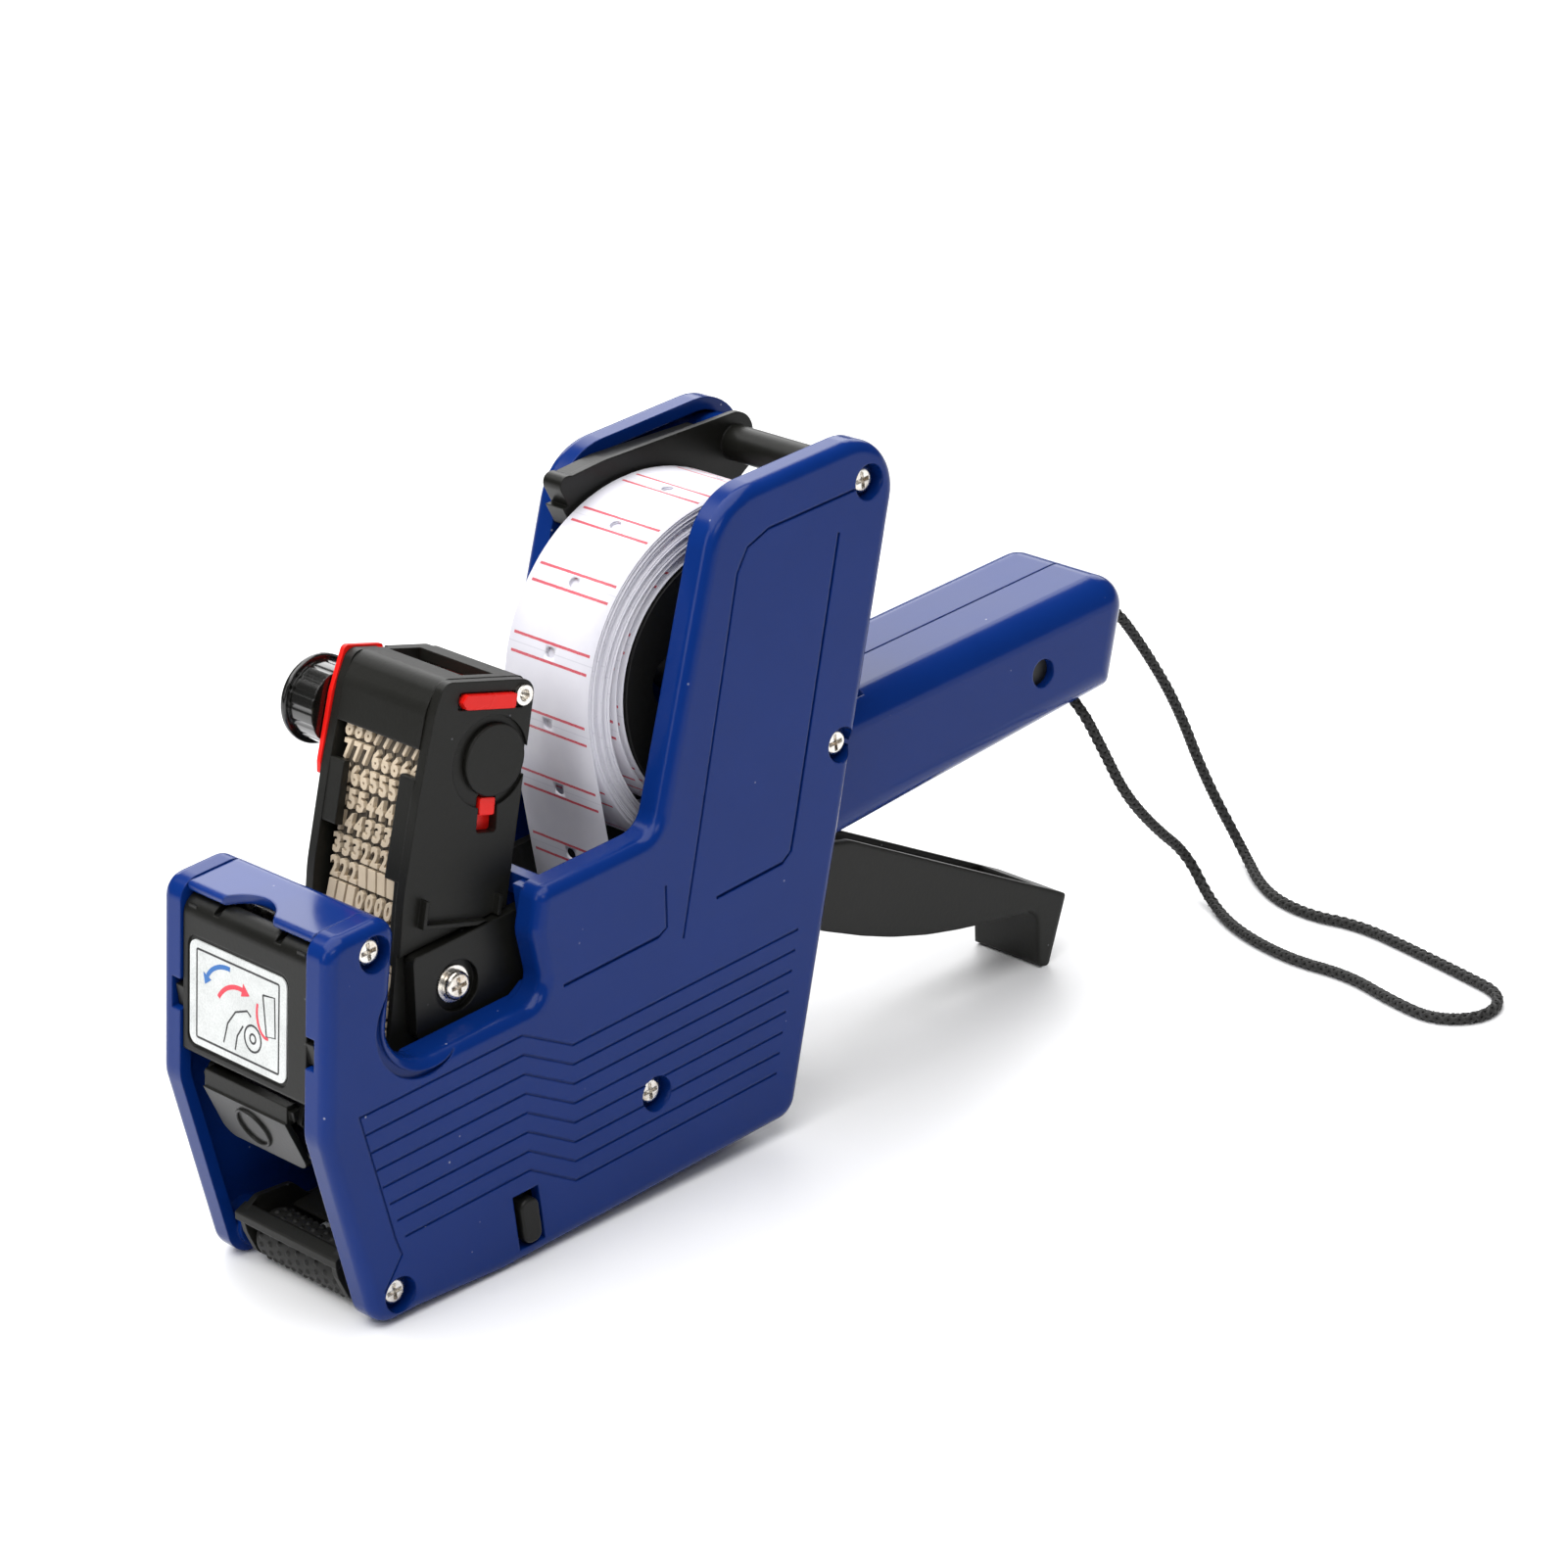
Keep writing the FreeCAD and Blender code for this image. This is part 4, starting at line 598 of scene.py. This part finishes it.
def ribbon(name, line, body, holes, replaces, y_shift=None, blank_from=None):
    """Paper strip along design (x, z) points, with punched holes at the given runs.

    The row of the holes is unprinted paper from the run blank_from on, where it is seen through holes above it.
    """
    runs = running_lengths(line)

    def at(run):
        run = min(max(run, 0.0), runs[-1])
        low = min(max(bisect.bisect_right(runs, run) - 1, 0), len(runs) - 2)
        share = (run - runs[low]) / max(runs[low + 1] - runs[low], 1e-9)
        (x0, z0), (x1, z1) = line[low], line[low + 1]
        return x0 + share * (x1 - x0), z0 + share * (z1 - z0)

    inside = [(h - HOLE_CELL / 2.0, h + HOLE_CELL / 2.0) for h in holes]
    columns = [run for run in runs if not any(a - 0.05 < run < b + 0.05 for a, b in inside)]
    for a, b in inside:
        columns.extend((a, b))
    columns.sort()
    rows = [-PAPER_HALF, -HOLE_ROW_HALF, HOLE_ROW_HALF, PAPER_HALF]
    verts = []
    uv = []
    faces = []

    def vertex(run, y):
        x, z = at(run)
        verts.append(place(x, y + (y_shift(run) if y_shift else 0.0), z))
        uv.append(((run - FIRST_HOLE) * MM, y * MM))
        return len(verts) - 1

    grid = [[vertex(run, y) for y in rows] for run in columns]
    hole_at = {round(a, 6): (a + b) / 2.0 for a, b in inside}
    blank_faces = []
    for i in range(len(columns) - 1):
        for j in range(len(rows) - 1):
            corners = [grid[i][j], grid[i + 1][j], grid[i + 1][j + 1], grid[i][j + 1]]
            middle = hole_at.get(round(columns[i], 6)) if j == HOLE_ROW else None
            before = len(faces)
            if middle is None:
                faces.append(tuple(corners))
            else:
                circle = []
                first_corner = -0.75 * math.pi
                for k in range(HOLE_POINTS):
                    angle = 2.0 * math.pi * (k + 0.5) / HOLE_POINTS + first_corner
                    circle.append(vertex(middle + HOLE[0] * math.cos(angle), HOLE[1] * math.sin(angle)))
                quarter = HOLE_POINTS // 4
                for side in range(4):
                    span = [circle[(side * quarter + k) % HOLE_POINTS] for k in range(quarter + 1)]
                    faces.append((corners[side], corners[(side + 1) % 4], *span[::-1]))
            if j == HOLE_ROW and blank_from is not None and columns[i] > blank_from:
                blank_faces.extend(range(before, len(faces)))
    obj = piece(name, verts, faces, body, paper, uv=uv, replaces=replaces)
    if blank_from is not None:
        obj.data.materials.append(paper_plain)
        for index in blank_faces:
            obj.data.polygons[index].material_index = 1
    solid = obj.modifiers.new("thickness", "SOLIDIFY")
    solid.thickness = PAPER_THICK * MM
    solid.offset = 0.0


WRAP_START = math.radians(56.0)   # where the strip's free end lies on the roll
WRAP_STEPS = 48
WRAP_R = ROLL_R - 0.05
FIRST_DEPTH = 0.3         # from the outermost wrap in to the first wound layer
LAYER_GAPS = (0.26, 0.26, 0.62, 0.26, 0.72, 0.26, 0.26, 0.8, 0.26, 0.7)
LAYER_SPREAD = 0.2        # how much wider the gaps are on the roll's loose side
LOOSE_SIDE = math.radians(70.0)
LOOSE_R = 23.0            # radius of the loose inner turn
LOOSE_TURNS = 1.75
LOOSE_EASE = 0.7          # share of a turn in which it comes away from the layers
SLUMP = 1.0
SLUMP_INNER_R = 24.0      # layers inside this radius keep round
ROLL_STEPS = 90           # chords to one turn of the roll
FEED_LINE_R = FEED_R + 0.245      # the strip's middle line round the feed wheel
WEB_END = 14.3
BED_CLEARANCE = 0.14
BED_REACHED = 1.0 / 3.6   # share of the run from feed wheel to end at which the strip is up on the bed


def rear_flat(angle):
    """How far the roll's rear has slumped in from round."""
    off_rear = abs((angle + math.pi) % (2.0 * math.pi) - math.pi)
    return SLUMP * math.cos(min(off_rear / WRAP_START, 1.0) * math.pi / 2.0) ** 2


def web_touch():
    """Angle on the roll where the strip leaves it, and that point."""
    dx, dz = ROLL[0] - (FEED[0] + FEED_LINE_R), ROLL[1] - FEED[1]
    reach = math.hypot(dx, dz)
    way = math.atan2(dz, dx) + math.asin(WRAP_R / reach)
    run = math.sqrt(reach ** 2 - WRAP_R ** 2)
    point = (FEED[0] + FEED_LINE_R + run * math.cos(way), FEED[1] + run * math.sin(way))
    return math.atan2(point[1] - ROLL[1], point[0] - ROLL[0]) % (2.0 * math.pi), point


def web_line():
    """Design (x, z) points of the strip: outermost wrap, fall to the feed wheel, run along the bed."""
    touch, top = web_touch()
    line = []
    for k in range(WRAP_STEPS):
        angle = WRAP_START + (touch - WRAP_START) * k / WRAP_STEPS
        line.append((ROLL[0] + WRAP_R * math.cos(angle), ROLL[1] + WRAP_R * math.sin(angle)))
    for k in range(13):
        share = k / 12.0
        line.append((top[0] + share * (FEED[0] + FEED_LINE_R - top[0]), top[1] + share * (FEED[1] - top[1])))
    for k in range(1, 10):
        angle = -math.pi / 2.0 * k / 9.0
        line.append((FEED[0] + FEED_LINE_R * math.cos(angle), FEED[1] + FEED_LINE_R * math.sin(angle)))
    low = FEED[1] - FEED_LINE_R
    for k in range(1, 15):
        share = k / 14.0
        rise = min(1.0, share / BED_REACHED) * (BED + BED_CLEARANCE - low)
        line.append((FEED[0] + share * (WEB_END - FEED[0]), low + rise))
    return line


def hole_angles():
    """Angles on the roll of the punched holes in its outermost wrap."""
    wrap = web_line()[:WRAP_STEPS]
    runs = running_lengths(wrap)
    angles = []
    while FIRST_HOLE + LABEL_PITCH * len(angles) < runs[-1]:
        wanted = FIRST_HOLE + LABEL_PITCH * len(angles)
        i = bisect.bisect_right(runs, wanted) - 1
        share = (wanted - runs[i]) / (runs[i + 1] - runs[i])
        (x0, z0), (x1, z1) = wrap[i], wrap[i + 1]
        angle = math.atan2(z0 + share * (z1 - z0) - ROLL[1], x0 + share * (x1 - x0) - ROLL[0])
        angles.append(angle % (2.0 * math.pi))
    return angles


def roll_line():
    """Spiral of the wound strip: an outer group of layers, a gap, then one loose inner turn."""
    points = []
    depths = [0.0]
    for gap in LAYER_GAPS:
        depths.append(depths[-1] + gap)
    wound = len(LAYER_GAPS)
    for i in range(int((wound + LOOSE_TURNS) * ROLL_STEPS) + 1):
        turn = i / ROLL_STEPS
        angle = WRAP_START + 2.0 * math.pi * turn
        whole = min(int(turn), wound - 1)
        depth = depths[whole] + min(turn - whole, 1.0) * LAYER_GAPS[whole]
        radius = WRAP_R - FIRST_DEPTH - depth * (1.03 + LAYER_SPREAD * math.cos(angle - LOOSE_SIDE))
        if turn > wound:
            ease = min(1.0, (turn - wound) / LOOSE_EASE)
            ease = ease * ease * (3.0 - 2.0 * ease)
            radius += (LOOSE_R - radius) * ease
        radius -= rear_flat(angle) * min(max((radius - SLUMP_INNER_R) / 2.0, 0.0), 1.0)
        points.append((ROLL[0] + radius * math.cos(angle), ROLL[1] + radius * math.sin(angle)))
    return points


def label_roll():
    """Wound layers, with holes under those of the outermost wrap."""
    line = roll_line()
    runs = running_lengths(line)
    holes = []
    for angle in hole_angles():
        steps = (angle - WRAP_START) / (2.0 * math.pi) * ROLL_STEPS
        low = int(steps)
        holes.append(runs[low] + (steps - low) * (runs[low + 1] - runs[low]))
    one_turn = 2.0 * math.pi * ROLL_R

    def drift(run):
        """Sideways drift of the layers, which don't lie quite flush."""
        return 0.2 * math.sin(run / 97.0) + 0.12 * math.sin(run / 31.0 + 1.0) if run > one_turn else 0.0

    ribbon("label_roll_paper", line, "roll", holes, ("label_roll",), drift, runs[ROLL_STEPS] - 2.0)


def label_web():
    """Outermost wrap and the strip from it to the bed's end."""
    line = web_line()
    total = running_lengths(line)[-1]
    holes = []
    while FIRST_HOLE + LABEL_PITCH * len(holes) < total - 2.0:
        holes.append(FIRST_HOLE + LABEL_PITCH * len(holes))
    ribbon("label_web", line, "casing", holes, ("label_strip",))


label_roll()
label_web()


# ---- type bands ----------------------------------------------------------------------------------
BANDS = 8
BAND_PITCH = 2.4
BAND_WIDTH = 2.12
BAND_THICK = 0.5
BAND_INSET = 0.95         # of the bands' outer face from the loop that the CAD bands run on
BAND_MIDDLE = Vector((16.0, 4.5))
TYPE_HEIGHT = 0.8
TYPE_ROOT = 0.12          # how deep a numeral's foot is in the band
TYPE_PITCH = 3.8
TYPE_OFFSETS = (3, 3, 3, 3, 3, 4, 4, 4)


def glyph_mesh(text):
    """Front faces and sides of one numeral as (points, faces), about 1 unit high, mirrored as type is."""
    curve = bpy.data.curves.new("glyph", "FONT")
    curve.body = text
    curve.extrude = 0.5
    curve.resolution_u = 2
    curve.offset = 0.045
    holder = bpy.data.objects.new("glyph", curve)
    made = bpy.data.meshes.new_from_object(holder)
    bpy.data.objects.remove(holder)
    points = [v.co.copy() for v in made.vertices]
    low = Vector((min(p.x for p in points), min(p.y for p in points)))
    high = Vector((max(p.x for p in points), max(p.y for p in points)))
    scaled = [((high.x - p.x) / (high.x - low.x) - 0.5, (p.y - low.y) / (high.y - low.y) - 0.5, p.z + 0.5)
              for p in points]
    return scaled, [tuple(f.vertices) for f in made.polygons]


def band_loop(inset):
    """A loop round the head, set in from the CAD bands' loop, as (up, forward) points."""
    return rounded_path([
        (-11.9 + inset, 0.4 + inset, 2.0 - inset), (-11.9 + inset, 9.5 - inset, 2.0 - inset),
        (43.9 - inset, 9.6 - inset, 4.4 - inset), (43.9 - inset, -4.5 + inset, 6.6 - inset),
        (30.0, -4.6 + inset, 12.0),
    ], 1.2)


def type_bands():
    """Rubber bands with raised numerals round the outside."""
    glyphs = [glyph_mesh(str(digit)) for digit in range(10)]
    outer = band_loop(BAND_INSET)
    inner = band_loop(BAND_INSET + BAND_THICK)
    inner = [min(inner, key=lambda q: (q - p).length) for p in outer]
    closed = outer + outer[:1]
    run = running_lengths(closed)
    count = int(run[-1] / TYPE_PITCH)
    pitch = run[-1] / count
    for index in range(BANDS):
        middle = (index + 0.5 - BANDS / 2.0) * BAND_PITCH
        verts = []
        faces = []
        for points, side in ((outer, -1.0), (outer, 1.0), (inner, 1.0), (inner, -1.0)):
            for up, forward in points:
                x, z = head_xz(up, forward)
                verts.append(place(x, middle + side * BAND_WIDTH / 2.0, z))
        n = len(outer)
        for ring in range(4):
            a, b = ring * n, (ring + 1) % 4 * n
            for k in range(n):
                m = (k + 1) % n
                faces.append((a + k, a + m, b + m, b + k))
        base_faces = len(faces)
        for k in range(count):
            type_run = (k + 0.5) * pitch
            i = bisect.bisect_left(run, type_run) - 1
            a, b = closed[i], closed[i + 1]
            at = a.lerp(b, (type_run - run[i]) / (run[i + 1] - run[i]))
            along = (b - a).normalized()
            out = Vector((-along.y, along.x))
            if (at + out - BAND_MIDDLE).length < (at - out - BAND_MIDDLE).length:
                out = -out
            glyph_points, glyph_faces = glyphs[(k + TYPE_OFFSETS[index]) % 10]
            first = len(verts)
            lean = 0.3 * math.sin(k * 1.7)
            for gx, gy, gz in glyph_points:
                lift = gz * (TYPE_HEIGHT + TYPE_ROOT) - TYPE_ROOT
                up, forward = at + along * (gy * (pitch * 0.88)) + out * lift
                x, z = head_xz(up, forward)
                verts.append(place(x, middle + (gx + lean * gy) * (BAND_WIDTH * 0.9), z))
            faces.extend(tuple(first + v for v in f) for f in glyph_faces)
        band = piece(f"type_band_{index + 1}_rubber", verts, faces, "lever", beige,
                     smooth=False, replaces=(f"type_band_{index + 1}",))
        band.data.materials.append(beige_base)
        for polygon in band.data.polygons[:base_faces]:
            polygon.material_index = 1


type_bands()


# ---- applicator roller ---------------------------------------------------------------------------
RUBBER_R = 4.15
RUBBER_HALF = 11.1
RUBBER_BORE_R = 1.3
RUBBER_SIDES = 48
NUB_ROWS = 9
NUBS_ROUND = 16
NUB_SIDES = 8
NUB_LEVELS = ((-0.1, 0.55), (0.2, 0.42), (0.33, 0.18))      # lift from the rubber and radius there


def nubbed_roller():
    """Rubber roller covered with rows of small pointed nubs."""
    verts = []
    faces = []
    chamfer = 0.3
    rings = [
        (-RUBBER_HALF, RUBBER_BORE_R), (-RUBBER_HALF, RUBBER_R - chamfer), (-RUBBER_HALF + chamfer, RUBBER_R),
        (RUBBER_HALF - chamfer, RUBBER_R), (RUBBER_HALF, RUBBER_R - chamfer), (RUBBER_HALF, RUBBER_BORE_R),
    ]
    for y, r in rings:
        for k in range(RUBBER_SIDES):
            angle = 2.0 * math.pi * k / RUBBER_SIDES
            verts.append(place(ROLLER[0] + r * math.cos(angle), y, ROLLER[1] + r * math.sin(angle)))
    for i in range(len(rings)):
        a = i * RUBBER_SIDES
        b = (i + 1) % len(rings) * RUBBER_SIDES
        for k in range(RUBBER_SIDES):
            m = (k + 1) % RUBBER_SIDES
            faces.append((a + k, a + m, b + m, b + k))
    row_half = RUBBER_HALF - 1.5
    for i in range(NUB_ROWS):
        y = 2.0 * row_half * i / (NUB_ROWS - 1) - row_half
        for k in range(NUBS_ROUND):
            angle = 2.0 * math.pi * (k + 0.5 * (i % 2)) / NUBS_ROUND
            out = Vector((math.cos(angle), 0.0, math.sin(angle)))
            tangent = Vector((-math.sin(angle), 0.0, math.cos(angle)))
            first = len(verts)
            for lift, size in NUB_LEVELS:
                for m in range(NUB_SIDES):
                    turn = 2.0 * math.pi * m / NUB_SIDES
                    p = out * (RUBBER_R + lift) + tangent * (size * math.cos(turn))
                    verts.append(place(ROLLER[0] + p.x, y + size * math.sin(turn), ROLLER[1] + p.z))
            for level in range(len(NUB_LEVELS) - 1):
                a = first + level * NUB_SIDES
                for m in range(NUB_SIDES):
                    b = a + (m + 1) % NUB_SIDES
                    faces.append((a + m, b, b + NUB_SIDES, a + m + NUB_SIDES))
            last = first + (len(NUB_LEVELS) - 1) * NUB_SIDES
            faces.append(tuple(range(last, last + NUB_SIDES)))
    piece("applicator_roller_rubber", verts, faces, "applicator_roller", rubber,
          replaces=("applicator_roller",))


nubbed_roller()


# ---- print on the ink cover's card ---------------------------------------------------------------
CARD_LEFT, CARD_RIGHT = 14.2, -10.8
CARD_BOTTOM, CARD_TOP = 43.6, 60.7
CARD_FACE_X = -9.28       # the card's face, at the height below
CARD_FACE_Z = 37.1
CARD_SLOPE = 0.1947
INK_THICK = 0.03
FINE = 0.32
BORDER = 0.34
ARROW = 0.75
ARROW_HEAD = 2.3


def on_card(u, v, lift):
    """A point of the card, u from its left and v down from its top, both 0 to 1."""
    z = CARD_TOP + v * (CARD_BOTTOM - CARD_TOP)
    x = CARD_FACE_X + CARD_SLOPE * (z - CARD_FACE_Z)
    return place(x - lift, CARD_LEFT + u * (CARD_RIGHT - CARD_LEFT), z)


def stroke(verts, faces, line, width, closed=False):
    """Raised printed line along (u, v) points; width is in millimetres, one for the line or one per point."""
    wide, tall = CARD_LEFT - CARD_RIGHT, CARD_TOP - CARD_BOTTOM
    count = len(line)
    widths = width if isinstance(width, list) else [width] * count
    first = len(verts)
    for i, (u, v) in enumerate(line):
        before = line[i - 1] if (i or closed) else line[0]
        after = line[(i + 1) % count] if (i + 1 < count or closed) else line[-1]
        du, dv = (after[0] - before[0]) * wide, (after[1] - before[1]) * tall
        length = math.hypot(du, dv)
        half = widths[i] / 2.0
        nu, nv = -dv / length * half / wide, du / length * half / tall
        for sign, lift in ((1, 0.0), (1, INK_THICK), (-1, INK_THICK), (-1, 0.0)):
            verts.append(on_card(u + sign * nu, v + sign * nv, lift))
    for i in range(count if closed else count - 1):
        a, b = first + 4 * i, first + 4 * ((i + 1) % count)
        for k in range(3):
            faces.append((a + k, a + k + 1, b + k + 1, b + k))


def arc_line(centre, radii, start, end, count=14):
    """Points of an elliptic arc between two angles in degrees."""
    angles = [math.radians(start + (end - start) * k / count) for k in range(count + 1)]
    return [(centre[0] + radii[0] * math.cos(a), centre[1] + radii[1] * math.sin(a)) for a in angles]


def arrow(verts, faces, line):
    """Curved arrow: a stroke with a tapering head at its end."""
    stroke(verts, faces, line[:-3], ARROW)
    stroke(verts, faces, [line[-4], line[-1]], [ARROW_HEAD, 0.1])


def card_piece(name, ink, draw):
    """One colour of the print; draw adds its strokes."""
    verts, faces = [], []
    draw(verts, faces)
    piece(name, verts, faces, "ink_cover", ink, smooth=False)


def draw_lines(verts, faces):
    near, far, corner = 0.075, 0.925, 0.012
    corners = [(near, near, corner), (far, near, corner), (far, far, corner), (near, far, corner)]
    stroke(verts, faces, rounded_path(corners, 0.01), BORDER, True)
    stroke(verts, faces, arc_line((0.66, 0.70), (0.085, 0.125), 0, 345, 20), BORDER, True)
    stroke(verts, faces, arc_line((0.66, 0.70), (0.03, 0.044), 0, 340, 12), BORDER, True)
    stroke(verts, faces, [(0.36, 0.86), (0.40, 0.66), (0.48, 0.52), (0.60, 0.46), (0.64, 0.50)], FINE)
    stroke(verts, faces, [(0.48, 0.88), (0.50, 0.74), (0.56, 0.62)], FINE)
    stroke(verts, faces, [(0.76, 0.24), (0.88, 0.22), (0.89, 0.60), (0.80, 0.62), (0.76, 0.24)], FINE)


def draw_blue(verts, faces):
    arrow(verts, faces, arc_line((0.40, 0.42), (0.24, 0.28), -85, -172))


def draw_red(verts, faces):
    arrow(verts, faces, arc_line((0.52, 0.62), (0.25, 0.34), -150, -66))
    stroke(verts, faces, arc_line((0.80, 0.42), (0.10, 0.22), 200, 80, 10), 0.5)


card_piece("card_lines", black_ink, draw_lines)
card_piece("card_arrow_blue", blue_ink, draw_blue)
card_piece("card_arrow_red", red_ink, draw_red)
